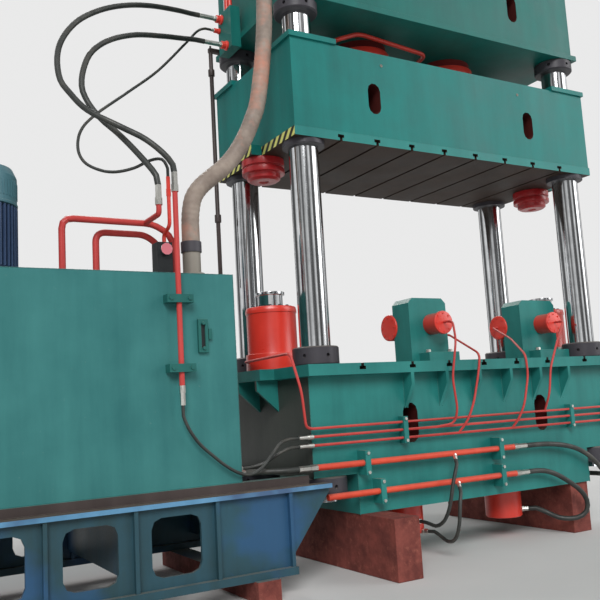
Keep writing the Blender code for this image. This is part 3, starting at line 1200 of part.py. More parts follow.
def build_tank(green, glass):
    """Oil tank with its channel rails and sockets, and the level gauge on its front."""
    bm = bmesh.new()
    add_box(bm, (UNIT_LEFT_X, -TANK_HALF_W, TANK_LOW_Z), (TANK_RIGHT_X, TANK_HALF_W, TANK_TOP_Z))
    tank = mesh_from("oil_tank", bm, green)
    soften = tank.modifiers.new("edge", "BEVEL")
    soften.width = TANK_EDGE
    soften.segments = 2

    rails = bmesh.new()
    low = FRAME_TOP_Z + GAP
    top = TANK_LOW_Z + ROOT
    for side in (-1, 1):
        y0 = side * (RAIL_Y - RAIL_W / 2)
        y1 = side * (RAIL_Y + RAIL_W / 2)
        web = y1 - side * RAIL_WALL
        under = TANK_LOW_Z - RAIL_WALL
        section = [(y0, low), (y1, low), (y1, top), (y0, top), (y0, under), (web, under),
                   (web, low + RAIL_WALL), (y0, low + RAIL_WALL)]
        add_prism(rails, section, "X", UNIT_LEFT_X + TANK_EDGE, RAIL_RIGHT_X)
    boolean(tank, rails, "UNION", "rail_shapes")

    sockets = bmesh.new()
    bore = SUCTION_D / 2
    root = TANK_TOP_Z - ROOT
    stub_top = TANK_TOP_Z + SUCTION_STUB_H
    band = bore + CLAMP_BAND_OUT
    seat = TANK_TOP_Z + SUCTION_FLANGE_T
    stub = [(0, root), (bore + SUCTION_FLANGE, root), (bore + SUCTION_FLANGE, seat), (bore, seat),
            (bore, stub_top - CLAMP_BAND_H), (band, stub_top - CLAMP_BAND_H), (band, stub_top), (0, stub_top)]
    add_turned(sockets, stub, (SUCTION_X, SUCTION_Y, 0))
    small = THIN_PIPE_D * 1.8
    add_fitting(sockets, (TANK_RIGHT_X, *SIDE_HOSE[-1][1:]), SIDE_HOSE[-1], small)
    add_fitting(sockets, (TANK_RIGHT_X, *THICK_LEFT_HOSE[-1][1:]), THICK_LEFT_HOSE[-1], FERRULE_D)
    boolean(tank, sockets, "UNION", "tank_sockets")

    face = -TANK_HALF_W - GAP
    bm = bmesh.new()
    add_box(bm, (GAUGE_X - GAUGE_W / 2, face - GAUGE_T, GAUGE_Z - GAUGE_H / 2),
            (GAUGE_X + GAUGE_W / 2, face, GAUGE_Z + GAUGE_H / 2))
    gauge = mesh_from("level_gauge", bm, glass)
    slot = bmesh.new()
    add_box(slot, (GAUGE_X - GAUGE_W / 5, face - GAUGE_T - GAP, GAUGE_Z - GAUGE_H * 0.36),
            (GAUGE_X + GAUGE_W / 5, face - GAUGE_T * 0.6, GAUGE_Z + GAUGE_H * 0.36))
    boolean(gauge, slot, "DIFFERENCE", "gauge_window")


def build_tank_pipes(red, steel):
    """The pipes on the tank top with their risers, the one down its front, and the valve block."""
    bm = bmesh.new()
    add_sweep(bm, bent_points(TANK_PIPE_LONG, PIPE_BEND), TANK_PIPE_D)
    long_pipe = mesh_from("tank_pipe_long", bm, red, smooth=True)
    extras = bmesh.new()
    x, y = LOOP_OUTER[-1][:2]
    riser = [(x, y, RISER_TOP_Z), (x, y, LONG_PIPE_Z), (x, TANK_PIPE_LONG[0][1], LONG_PIPE_Z)]
    add_sweep(extras, bent_points(riser, RISER_BEND), RISER_D)
    boolean(long_pipe, extras, "UNION", "long_pipe_riser")
    fitting = bmesh.new()
    add_fitting(fitting, (x, y, RISER_TOP_Z), LOOP_OUTER[-1], FERRULE_D)
    boolean(long_pipe, fitting, "UNION", "long_pipe_fitting")

    tube("tank_pipe_short", [bent_points(TANK_PIPE_SHORT, PIPE_BEND)], TANK_PIPE_D, red)

    bm = bmesh.new()
    front = RISER_Y - RISER_D * 0.8
    bolts = bmesh.new()
    for z in (TANK_CLAMP_Z, TANK_TOP_Z - TANK_CLAMP_L):
        add_box(bm, (FRONT_PIPE_X - TANK_CLAMP_L / 2, front, z - TANK_CLAMP_H / 2),
                (FRONT_PIPE_X + TANK_CLAMP_L / 2, -TANK_HALF_W - GAP, z + TANK_CLAMP_H / 2))
        for turn in (-1, 1):
            bolt_x = FRONT_PIPE_X + turn * (TANK_CLAMP_L / 2 - SMALL_BOLT_D)
            add_bolt(bolts, (bolt_x, front, z), "Y", SMALL_BOLT_D, -SMALL_BOLT_H)
    front_pipe = mesh_from("tank_front_pipe", bm, red)
    bar = bmesh.new()
    line = [(FRONT_PIPE_X, RISER_Y, FRONT_PIPE_LOW_Z), (FRONT_PIPE_X, RISER_Y, FRONT_PIPE_TOP_Z)]
    add_sweep(bar, line, RISER_D)
    boolean(front_pipe, bar, "UNION", "front_pipe_shape")
    add_fitting(bolts, (FRONT_PIPE_X, RISER_Y, FRONT_PIPE_TOP_Z), LOOP_INNER[-1], FERRULE_D)
    add_fitting(bolts, (FRONT_PIPE_X, RISER_Y, FRONT_PIPE_LOW_Z), TANK_HOSE[0], SLIM_FERRULE_D * 1.2)
    boolean(front_pipe, bolts, "UNION", "front_pipe_bolts_and_fittings")

    bm = bmesh.new()
    top = TANK_TOP_Z + GAP
    half = VALVE_W / 2
    add_box(bm, (VALVE_X - half, VALVE_Y - half, top), (VALVE_X + half, VALVE_Y + half, top + VALVE_H))
    valve = mesh_from("valve_block", bm, steel)
    extras = bmesh.new()
    add_turned(extras, disc_profile(VALVE_EYE_D, VALVE_Y - half - VALVE_EYE_OUT, VALVE_Y - half + ROOT),
               (VALVE_X, 0, top + VALVE_H - half), axis="Y", sides=SMALL_SIDES)
    x, y = LOOP_SLIM[-1][:2]
    riser = [(x, y, SLIM_RISER_TOP_Z), (x, y, VALVE_RISER_Z), (x, VALVE_Y, VALVE_RISER_Z - RISER_D),
             (x, VALVE_Y, top + VALVE_H - ROOT)]
    add_sweep(extras, bent_points(riser, SLIM_BEND), SLIM_FERRULE_D * 0.8)
    boolean(valve, extras, "UNION", "valve_eye_and_riser")
    fitting = bmesh.new()
    add_fitting(fitting, (x, y, SLIM_RISER_TOP_Z), LOOP_SLIM[-1], SLIM_FERRULE_D)
    boolean(valve, fitting, "UNION", "valve_riser_fitting")


def build_motor(teal, navy):
    """The flange-mounted pump motor: foot, finned body and fan cover."""
    base = TANK_TOP_Z + GAP
    body_low = base + MOTOR_FOOT_H
    body_high = body_low + MOTOR_BODY_H
    r = MOTOR_D / 2
    points = []
    for k in range(MOTOR_FINS):
        for share, radius in ((0.0, r), (0.35, r), (0.45, r - MOTOR_FIN_H), (0.9, r - MOTOR_FIN_H)):
            angle = 2 * math.pi * (k + share) / MOTOR_FINS
            points.append((radius * math.cos(angle), radius * math.sin(angle)))
    bm = bmesh.new()
    add_prism(bm, points, "Z", body_low, body_high)
    body = mesh_from("pump_motor", bm, navy, (MOTOR_X, 0, 0))
    foot = bmesh.new()
    add_turned(foot, disc_profile(MOTOR_FLANGE_D, base, body_low + STRAIGHT))
    boolean(body, foot, "UNION", "motor_foot")

    low = body_high + GAP
    shoulder = MOTOR_COVER_H * 0.75
    cover = [(0, low), (r, low), (r, low + shoulder), (r - MOTOR_FIN_H, low + MOTOR_COVER_H - TANK_EDGE),
             (r - 2 * MOTOR_FIN_H, low + MOTOR_COVER_H), (0, low + MOTOR_COVER_H)]
    bm = bmesh.new()
    add_turned(bm, cover)
    mesh_from("motor_fan_cover", bm, teal, (MOTOR_X, 0, 0), smooth=True)


def build_suction(hose_skin):
    """The large suction hose between the tank and the left prefill valve."""
    start = Vector((SUCTION_X, SUCTION_Y, TANK_TOP_Z + SUCTION_STUB_H + GAP))
    end = (-RAM_X - HEAD_D / 2 - GAP, 0.0, port_height())
    lead = (end[0] - SUCTION_D, 0.0, port_height())
    line = smooth_points([tuple(start), *SUCTION_HOSE, lead, end], 1.6 * SUCTION_D)
    tube("suction_hose", [line], SUCTION_D, hose_skin, resolution=3)


def build_stroke_rod(steel):
    """The thin vertical rod left of the crown that guides the stroke switch."""
    bm = bmesh.new()
    add_turned(bm, disc_profile(ROD_D, ROD_LOW_Z, ROD_TOP_Z), (ROD_X, ROD_Y, 0), sides=8)
    rod = mesh_from("stroke_rod", bm, steel)
    arm = bmesh.new()
    wall = -(CROWN_HALF_L + CROWN_LIP) - GAP
    high = CROWN_BOTTOM_Z + CROWN_PLATE_T
    add_box(arm, (ROD_X - ROD_D, ROD_Y - ROD_D, high - ROD_ARM_H), (wall, ROD_Y + ROD_D, high))
    boolean(rod, arm, "UNION", "stroke_rod_arm")


def build_hoses(rubber):
    """All free hoses, each in a node of its own."""
    hose("hose_loop_outer", LOOP_OUTER, HOSE_D, rubber)
    hose("hose_loop_inner", LOOP_INNER, HOSE_D, rubber)
    hose("hose_loop_slim", LOOP_SLIM, SLIM_HOSE_D, rubber)
    hose("hose_tank_front", TANK_HOSE, SLIM_HOSE_D, rubber)
    hose("hose_tank_side", SIDE_HOSE, SLIM_HOSE_D, rubber)
    hose("hose_thick_left", THICK_LEFT_HOSE, HOSE_D, rubber)
    hose("hose_right_upper", RIGHT_UPPER_HOSE, HOSE_D, rubber)
    hose("hose_right_lower", RIGHT_LOWER_HOSE, HOSE_D, rubber)
    hose("hose_ejector_upper", EJECTOR_HOSE_UPPER, MID_HOSE_D, rubber)
    hose("hose_ejector_lower", EJECTOR_HOSE_LOWER, MID_HOSE_D, rubber)


def main():
    clear_scene()
    axis = bpy.data.objects.new("press_axis", None)
    bpy.context.scene.collection.objects.link(axis)
    axis.location = (PRESS_X, 0, 0)

    green = paint("press_green", (36, 130, 122), 0.45)
    tank_green = paint("tank_green", (60, 128, 126), 0.5)
    frame_blue = paint("frame_blue", (48, 84, 98), 0.55)
    chrome = paint("column_chrome", (205, 205, 205), 0.12, 1.0)
    steel = paint("fitting_steel", (160, 162, 160), 0.3, 1.0)
    red = paint("cylinder_red", (214, 52, 40), 0.4)
    maroon = paint("shade_red", (120, 35, 35), 0.45)
    pink = paint("pipe_red", (200, 72, 70), 0.45)
    orange = paint("pipe_orange", (225, 82, 60), 0.42)
    rust = paint("rust_red", (110, 48, 38), 0.8)
    rubber = paint("hose_rubber", (50, 52, 50), 0.6)
    grey_hose = paint("suction_grey", (140, 125, 115), 0.6)
    navy = paint("motor_navy", (60, 78, 105), 0.5)
    teal = paint("motor_teal", (85, 130, 140), 0.5)
    glass = paint("gauge_glass", (60, 70, 70), 0.3)

    build_supports(rust)
    build_base(green)
    build_columns(chrome)
    build_slide(green)
    build_strikes(red)
    build_buffers(red, chrome)
    build_crown(green)
    build_main_cylinders(maroon, chrome, steel)
    build_ejectors(red, chrome)
    build_clamps(green, red, chrome)
    build_base_pipework(pink)
    build_thick_pipes(orange)
    build_crown_piping(red, pink)
    build_frame(frame_blue)
    build_tank(tank_green, glass)
    build_tank_pipes(red, steel)
    build_motor(teal, navy)
    build_suction(grey_hose)
    build_stroke_rod(steel)
    build_hoses(rubber)


main()
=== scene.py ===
"""Looks of a four-column hydraulic press and its power unit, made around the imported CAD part.

Lengths are metres. Pieces are laid out about the press centre line and moved to the row frame
when they are finished, so every piece's place is in its mesh.
"""

import json
import logging
import math
from dataclasses import dataclass, field
from enum import Enum
from typing import Callable, Dict, Iterable, List, Optional, Sequence, Tuple

import bmesh
import bpy
from mathutils import Matrix, Vector

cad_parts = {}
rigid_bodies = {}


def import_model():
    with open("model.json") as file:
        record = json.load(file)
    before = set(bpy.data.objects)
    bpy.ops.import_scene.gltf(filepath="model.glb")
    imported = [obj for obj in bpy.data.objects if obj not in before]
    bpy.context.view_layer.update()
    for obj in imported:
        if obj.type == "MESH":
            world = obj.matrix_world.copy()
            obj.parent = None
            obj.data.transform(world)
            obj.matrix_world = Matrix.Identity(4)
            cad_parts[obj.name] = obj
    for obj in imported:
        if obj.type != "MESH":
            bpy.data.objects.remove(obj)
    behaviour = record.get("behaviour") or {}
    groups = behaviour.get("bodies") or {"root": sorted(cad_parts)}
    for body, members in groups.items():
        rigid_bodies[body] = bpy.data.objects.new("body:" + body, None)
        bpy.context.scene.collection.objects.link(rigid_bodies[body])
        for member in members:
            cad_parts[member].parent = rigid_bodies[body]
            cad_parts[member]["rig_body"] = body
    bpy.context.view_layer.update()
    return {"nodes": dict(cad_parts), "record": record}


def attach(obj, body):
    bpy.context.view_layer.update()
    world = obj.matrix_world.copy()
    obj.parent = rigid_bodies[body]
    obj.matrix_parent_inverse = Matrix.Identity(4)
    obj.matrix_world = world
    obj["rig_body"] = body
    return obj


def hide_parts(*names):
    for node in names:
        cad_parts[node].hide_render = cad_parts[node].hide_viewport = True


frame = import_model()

LOG = logging.getLogger("press")
# Keeps the finishes' names apart from those of the CAD slots' materials
LOOK = "look_"
Point = Tuple[float, float, float]
Rgb = Tuple[int, int, int]
Test = Callable[[Vector, Vector], bool]

# Where the press centre line stands in the row frame, and the heights of the machine's main faces
PRESS_X = 1.65
TABLE_Z = 1.8303
TABLE_LOW_Z = 1.7303
BASE_END_Z = 0.8603
BASE_LOW_Z = 0.5103
SLIDE_LOW_Z = 3.90
SLIDE_TOP_Z = 4.84
CROWN_LOW_Z = 5.27
CROWN_TOP_Z = 6.49
TANK_LOW_Z = 0.8973
TANK_TOP_Z = 2.5973
# The space that the CAD leaves between two solids that seat on each other
GAP = 0.0003


def linear(rgb: Rgb) -> Tuple[float, float, float, float]:
    """Turns a screen colour into the linear colour that a shader takes.

    Args:
        rgb: red, green and blue from 0 to 255.

    Returns:
        The linear colour with an alpha of 1.
    """
    parts = [c / 255 for c in rgb]
    made = [c / 12.92 if c <= 0.04045 else ((c + 0.055) / 1.055) ** 2.4 for c in parts]
    return (made[0], made[1], made[2], 1.0)


def to_mesh(name: str, bm: bmesh.types.BMesh) -> bpy.types.Mesh:
    """Turns an edited mesh into a plain one and frees it.

    Args:
        name: the mesh's name.
        bm: the edited mesh.

    Returns:
        The plain mesh.
    """
    mesh = bpy.data.meshes.new(name)
    bm.to_mesh(mesh)
    bm.free()
    return mesh


def placed(name: str, data: bpy.types.ID) -> bpy.types.Object:
    """Makes an object and puts it in the scene.

    Args:
        name: the object's name.
        data: its mesh, curve, lamp or camera.

    Returns:
        The object.
    """
    obj = bpy.data.objects.new(name, data)
    bpy.context.scene.collection.objects.link(obj)
    return obj


class Wiring:
    """What a material and a growth share: setting an input, and one arithmetic step."""

    tree: bpy.types.NodeTree

    def put(self, socket: bpy.types.NodeSocket, value: object) -> None:
        """Links or sets one input.

        Args:
            socket: the input.
            value: an output socket to link, or a plain value.
        """
        if isinstance(value, bpy.types.NodeSocket):
            self.tree.links.new(value, socket)
        else:
            socket.default_value = value

    def math(self, kind: str, a: object, b: object = 0.0) -> bpy.types.NodeSocket:
        """One arithmetic step.

        Args:
            kind: the operation's name, such as MULTIPLY.
            a: the first value or socket.
            b: the second value or socket.

        Returns:
            The result.
        """
        node = self.tree.nodes.new("ShaderNodeMath")
        node.operation = kind
        self.put(node.inputs[0], a)
        self.put(node.inputs[1], b)
        return node.outputs["Value"]


class Graph(Wiring):
    """A hand that wires the nodes of one material."""

    def __init__(self, name: str) -> None:
        """Makes the material.

        Args:
            name: the finish's name.
        """
        self.material = bpy.data.materials.new(LOOK + name)
        self.material.use_nodes = True
        self.tree = self.material.node_tree
        self.shader = self.tree.nodes["Principled BSDF"]
        self.place = self.tree.nodes.new("ShaderNodeTexCoord").outputs["Object"]

    def noise(self, scale: float, detail: float = 4.0, rough: float = 0.55,
              stretch: Point = (1.0, 1.0, 1.0)) -> bpy.types.NodeSocket:
        """Fractal noise on object coordinates.

        Args:
            scale: how many features to a metre.
            detail: octaves of finer features.
            rough: how strong the finer octaves are.
            stretch: factors on the three axes, small where features run long.

        Returns:
            The factor, near 0.5 on average.
        """
        mapping = self.tree.nodes.new("ShaderNodeMapping")
        self.put(mapping.inputs["Vector"], self.place)
        mapping.inputs["Scale"].default_value = stretch
        noise = self.tree.nodes.new("ShaderNodeTexNoise")
        self.put(noise.inputs["Vector"], mapping.outputs["Vector"])
        noise.inputs["Scale"].default_value = scale
        noise.inputs["Detail"].default_value = detail
        noise.inputs["Roughness"].default_value = rough
        return noise.outputs["Fac"]

    def span(self, value: bpy.types.NodeSocket, low: float, high: float,
             to_low: float = 0.0, to_high: float = 1.0) -> bpy.types.NodeSocket:
        """Maps a range of a value to another, clamped.

        Args:
            value: the value.
            low: the value that becomes to_low.
            high: the value that becomes to_high.
            to_low: the result at low.
            to_high: the result at high.

        Returns:
            The mapped value.
        """
        node = self.tree.nodes.new("ShaderNodeMapRange")
        self.put(node.inputs["Value"], value)
        for name, number in (("From Min", low), ("From Max", high), ("To Min", to_low), ("To Max", to_high)):
            node.inputs[name].default_value = number
        return node.outputs["Result"]

    def mix(self, factor: bpy.types.NodeSocket, a: object, b: object) -> bpy.types.NodeSocket:
        """Blends two colours.

        Args:
            factor: 0 gives the first colour and 1 the second.
            a: the first colour or socket.
            b: the second colour or socket.

        Returns:
            The blended colour.
        """
        node = self.tree.nodes.new("ShaderNodeMix")
        node.data_type = "RGBA"
        self.put(node.inputs[0], factor)
        self.put(node.inputs[6], a)
        self.put(node.inputs[7], b)
        return node.outputs[2]

    def upward(self) -> bpy.types.NodeSocket:
        """How far a face looks up, for dust that settles on it.

        Returns:
            The factor, 0 for walls and undersides and 1 for level tops.
        """
        split = self.tree.nodes.new("ShaderNodeSeparateXYZ")
        self.put(split.inputs[0], self.tree.nodes.new("ShaderNodeNewGeometry").outputs["Normal"])
        return self.span(split.outputs["Z"], 0.3, 0.95)

    def along(self, axis: str) -> bpy.types.NodeSocket:
        """One object coordinate.

        Args:
            axis: X, Y or Z.

        Returns:
            The coordinate in metres.
        """
        split = self.tree.nodes.new("ShaderNodeSeparateXYZ")
        self.put(split.inputs[0], self.place)
        return split.outputs[axis]

    def bump(self, height: bpy.types.NodeSocket, strength: float, distance: float) -> None:
        """Sets the shader's bump.

        Args:
            height: the relief.
            strength: how strong it is.
            distance: its depth in metres.
        """
        node = self.tree.nodes.new("ShaderNodeBump")
        self.put(node.inputs["Height"], height)
        node.inputs["Strength"].default_value = strength
        node.inputs["Distance"].default_value = distance
        self.put(self.shader.inputs["Normal"], node.outputs["Normal"])

    def set(self, **values: object) -> None:
        """Puts values on the shader, with the sockets' spaces written as underscores."""
        for name, value in values.items():
            self.put(self.shader.inputs[name.replace("_", " ")], value)


@dataclass(frozen=True)
class Enamel:
    """Sprayed machine enamel: uneven coats, streaks down the sides, dust on top and rubbed spots."""

    name: str
    colour: Rgb
    shade: Rgb
    rubbed: Rgb = (150, 160, 150)
    dust: Rgb = (168, 158, 140)
    dustiness: float = 0.45
    rubs: float = 0.12
    gloss: float = 0.42
    coat: float = 0.06
    shine: float = 0.30
    blush: Rgb = (0, 0, 0)
    blushes: float = 0.0

    def material(self) -> bpy.types.Material:
        """Builds the paint.

        Returns:
            The material.
        """
        g = Graph(self.name)
        broad = g.noise(1.3, 5.0, 0.6)
        streaks = g.noise(7.0, 4.0, 0.6, (1.0, 1.0, 0.10))
        fine = g.noise(70.0, 3.0)
        tone = g.span(g.math("ADD", broad, g.math("MULTIPLY", streaks, 0.6)), 0.55, 1.05)
        colour = g.mix(tone, linear(self.shade), linear(self.colour))
        if self.blushes:
            patches = g.span(g.noise(1.7, 3.0), 0.50, 0.64, 0.0, self.blushes)
            colour = g.mix(patches, colour, linear(self.blush))
        spots = g.span(g.noise(24.0, 6.0, 0.7), 0.66, 0.74, 0.0, self.rubs)
        colour = g.mix(spots, colour, linear(self.rubbed))
        lying = g.math("MULTIPLY", g.upward(), g.span(g.noise(5.0, 6.0, 0.65), 0.3, 0.75, 0.35, 1.0))
        colour = g.mix(g.math("MULTIPLY", lying, self.dustiness), colour, linear(self.dust))
        rough = g.span(g.math("ADD", g.math("MULTIPLY", broad, 0.7), g.math("MULTIPLY", fine, 0.3)),
                       0.3, 0.7, self.gloss - 0.08, self.gloss + 0.16)
        g.set(Base_Color=colour, Roughness=rough, Coat_Weight=self.coat, Coat_Roughness=0.22,
              Specular_IOR_Level=self.shine)
        g.bump(g.math("ADD", g.math("MULTIPLY", g.noise(220.0, 2.0), 0.35), g.noise(9.0, 3.0)), 0.16, 0.004)
        return g.material


@dataclass(frozen=True)
class Bare:
    """Bare or plated metal: smudges, a grain one way and oily dulling."""

    name: str
    colour: Rgb
    stain: Rgb
    low: float
    high: float
    grain: Point = (1.0, 1.0, 1.0)
    relief: float = 0.05

    def material(self) -> bpy.types.Material:
        """Builds the metal.

        Returns:
            The material.
        """
        g = Graph(self.name)
        smudge = g.noise(3.0, 6.0, 0.65)
        lines = g.noise(60.0, 3.0, 0.6, self.grain)
        blend = g.span(g.math("ADD", g.math("MULTIPLY", smudge, 0.7), g.math("MULTIPLY", lines, 0.3)),
                       0.34, 0.66)
        g.set(Base_Color=g.mix(blend, linear(self.stain), linear(self.colour)),
              Roughness=g.span(blend, 0.0, 1.0, self.high, self.low), Metallic=1.0)
        g.bump(lines, self.relief, 0.001)
        return g.material


@dataclass(frozen=True)
class Rusted:
    """Primer gone rusty: blotches of several browns and a crusty relief."""

    name: str
    colour: Rgb
    deep: Rgb
    bright: Rgb
    rough: float = 0.82

    def material(self) -> bpy.types.Material:
        """Builds the rust.

        Returns:
            The material.
        """
        g = Graph(self.name)
        blotch = g.noise(6.0, 8.0, 0.68)
        colour = g.mix(g.span(blotch, 0.38, 0.62), linear(self.deep), linear(self.colour))
        colour = g.mix(g.span(g.noise(19.0, 7.0, 0.7), 0.55, 0.72), colour, linear(self.bright))
        g.set(Base_Color=colour, Roughness=g.span(blotch, 0.3, 0.7, self.rough + 0.1, self.rough - 0.12))
        g.bump(g.noise(90.0, 6.0, 0.7), 0.35, 0.004)
        return g.material


@dataclass(frozen=True)
class Rubber:
    """Hose rubber: wrapped-cloth relief, grey bloom and dusty patches."""

    name: str
    colour: Rgb
    bloom: Rgb
    patch: Rgb
    rough: float = 0.55

    def material(self) -> bpy.types.Material:
        """Builds the rubber.

        Returns:
            The material.
        """
        g = Graph(self.name)
        colour = g.mix(g.span(g.noise(5.0, 5.0, 0.6), 0.4, 0.68), linear(self.colour), linear(self.bloom))
        colour = g.mix(g.span(g.noise(2.1, 5.0, 0.65), 0.54, 0.70), colour, linear(self.patch))
        g.set(Base_Color=colour, Roughness=g.span(g.noise(14.0, 4.0), 0.3, 0.7, self.rough - 0.1,
                                                  self.rough + 0.2))
        g.bump(g.noise(160.0, 3.0, 0.6), 0.25, 0.0015)
        return g.material


@dataclass(frozen=True)
class Banded:
    """Slanting caution bands, pale yellow and black, scuffed."""

    name: str
    light: Rgb
    dark: Rgb
    pitch: float

    def material(self) -> bpy.types.Material:
        """Builds the bands.

        Returns:
            The material.
        """
        g = Graph(self.name)
        slant = g.math("ADD", g.along("Y"), g.math("MULTIPLY", g.along("Z"), 0.9))
        wave = g.math("FRACT", g.math("DIVIDE", slant, self.pitch))
        edge = g.span(wave, 0.49, 0.51)
        colour = g.mix(edge, linear(self.dark), linear(self.light))
        colour = g.mix(g.span(g.noise(30.0, 6.0, 0.7), 0.62, 0.7, 0.0, 0.6), colour, linear((60, 110, 100)))
        g.set(Base_Color=colour, Roughness=g.span(g.noise(12.0), 0.3, 0.7, 0.4, 0.6))
        return g.material


class Coat(Enum):
    """The finishes of this machine."""

    GREEN = Enamel("press_green", (16, 126, 120), (12, 102, 98))
    TABLE_GREEN = Enamel("base_green", (44, 134, 128), (28, 108, 104), dustiness=0.5)
    DIM_GREEN = Enamel("crown_green", (14, 112, 104), (10, 92, 86))
    # The base's left end below the table: a grey that paints the shade falling on that end
    END_PAINTED_SHADE = Enamel("base_end_painted_shade", (80, 82, 76), (62, 66, 62))
    TANK = Enamel("tank_green", (62, 130, 128), (44, 108, 108), rubs=0.2)
    WEB = Enamel("frame_web_blue", (46, 86, 102), (42, 66, 70), rubbed=(48, 92, 146), rubs=0.5,
                 blush=(46, 88, 134), blushes=0.6)
    EDGE = Enamel("flange_edge_blue", (106, 158, 196), (84, 134, 168), rubs=0.3, blush=(66, 84, 118),
                  blushes=0.8)
    PLATE = Enamel("plate_green", (44, 136, 130), (32, 116, 112), dustiness=0.3)
    CLIP = Enamel("clip_green", (38, 108, 102), (28, 88, 84))
    POCKET = Enamel("pocket_maroon", (86, 36, 32), (58, 24, 24), dustiness=0.2)
    RED = Enamel("cylinder_red", (234, 64, 48), (206, 48, 38), dustiness=0.3, gloss=0.3, coat=0.35,
                 shine=0.5)
    PAD_RED = Enamel("strike_red", (196, 38, 42), (158, 28, 34), dustiness=0.2, gloss=0.3, coat=0.3,
                     shine=0.5)
    # The main cylinders' barrels: their red darkened as painted shade under the crown
    BARREL_SHADE_RED = Enamel("barrel_red_painted_shade", (128, 38, 36), (100, 28, 28), dustiness=0.35)
    PIPE = Enamel("pipe_red", (206, 74, 70), (180, 56, 54), dustiness=0.3, rubs=0.25)
    ORANGE = Enamel("pipe_orange", (226, 84, 58), (196, 62, 46), dustiness=0.22, rubs=0.3,
                    rubbed=(226, 120, 70))
    NUT = Enamel("nut_dark", (76, 74, 80), (54, 52, 58), rubbed=(150, 150, 155), rubs=0.5, gloss=0.42)
    NAVY = Enamel("motor_navy", (76, 98, 134), (58, 76, 106), dustiness=0.4)
    TEAL = Enamel("motor_teal", (86, 132, 142), (68, 110, 122), dustiness=0.4)
    RAIL = Enamel("rail_brown", (78, 68, 66), (58, 50, 48), dustiness=0.3)
    UNDER = Enamel("slide_underside", (66, 50, 40), (44, 35, 30), rubbed=(98, 78, 62), rubs=0.4,
                   gloss=0.55, coat=0.0)
    PINK = Enamel("eye_pink", (222, 130, 140), (196, 104, 116), dustiness=0.1)
    GREY = Enamel("stub_grey", (150, 144, 134), (122, 116, 108), dustiness=0.5)
    BLACK = Enamel("gauge_black", (34, 38, 40), (24, 27, 29), dustiness=0.2)
    CHROME = Bare("column_chrome", (222, 224, 226), (176, 178, 180), 0.05, 0.16, (1.0, 1.0, 0.15), 0.02)
    ROD = Bare("rod_chrome", (218, 220, 222), (170, 172, 174), 0.06, 0.18, (1.0, 1.0, 0.2), 0.02)
    TABLE = Bare("table_steel", (132, 128, 121), (106, 101, 94), 0.40, 0.52, (0.15, 1.0, 1.0))
    ZINC = Bare("fitting_zinc", (226, 226, 220), (168, 166, 160), 0.25, 0.45)
    RUST = Rusted("beam_rust", (132, 64, 54), (98, 44, 38), (150, 84, 70))
    HOSE = Rubber("hose_rubber", (40, 43, 41), (58, 61, 58), (74, 72, 66), 0.45)
    SUCTION = Rubber("suction_rubber", (132, 118, 108), (160, 146, 134), (190, 134, 114), 0.6)
    BANDS = Banded("caution_bands", (222, 220, 124), (30, 30, 28), 0.115)

    def made(self) -> bpy.types.Material:
        """The finish's material, built the first time it is asked for."""
        found = bpy.data.materials.get(LOOK + self.value.name)
        return found if found is not None else self.value.material()


@dataclass(frozen=True)
class Zone:
    """A part of a piece that has a finish of its own."""

    coat: Coat
    holds: Test


def inside(low: Point, high: Point) -> Test:
    """A test for faces whose middle is in a box about the press centre line.

    Args:
        low: the box's lowest corner.
        high: its highest corner.

    Returns:
        The test.
    """
    return lambda c, n: all(a <= v <= b for a, v, b in zip(low, c, high))


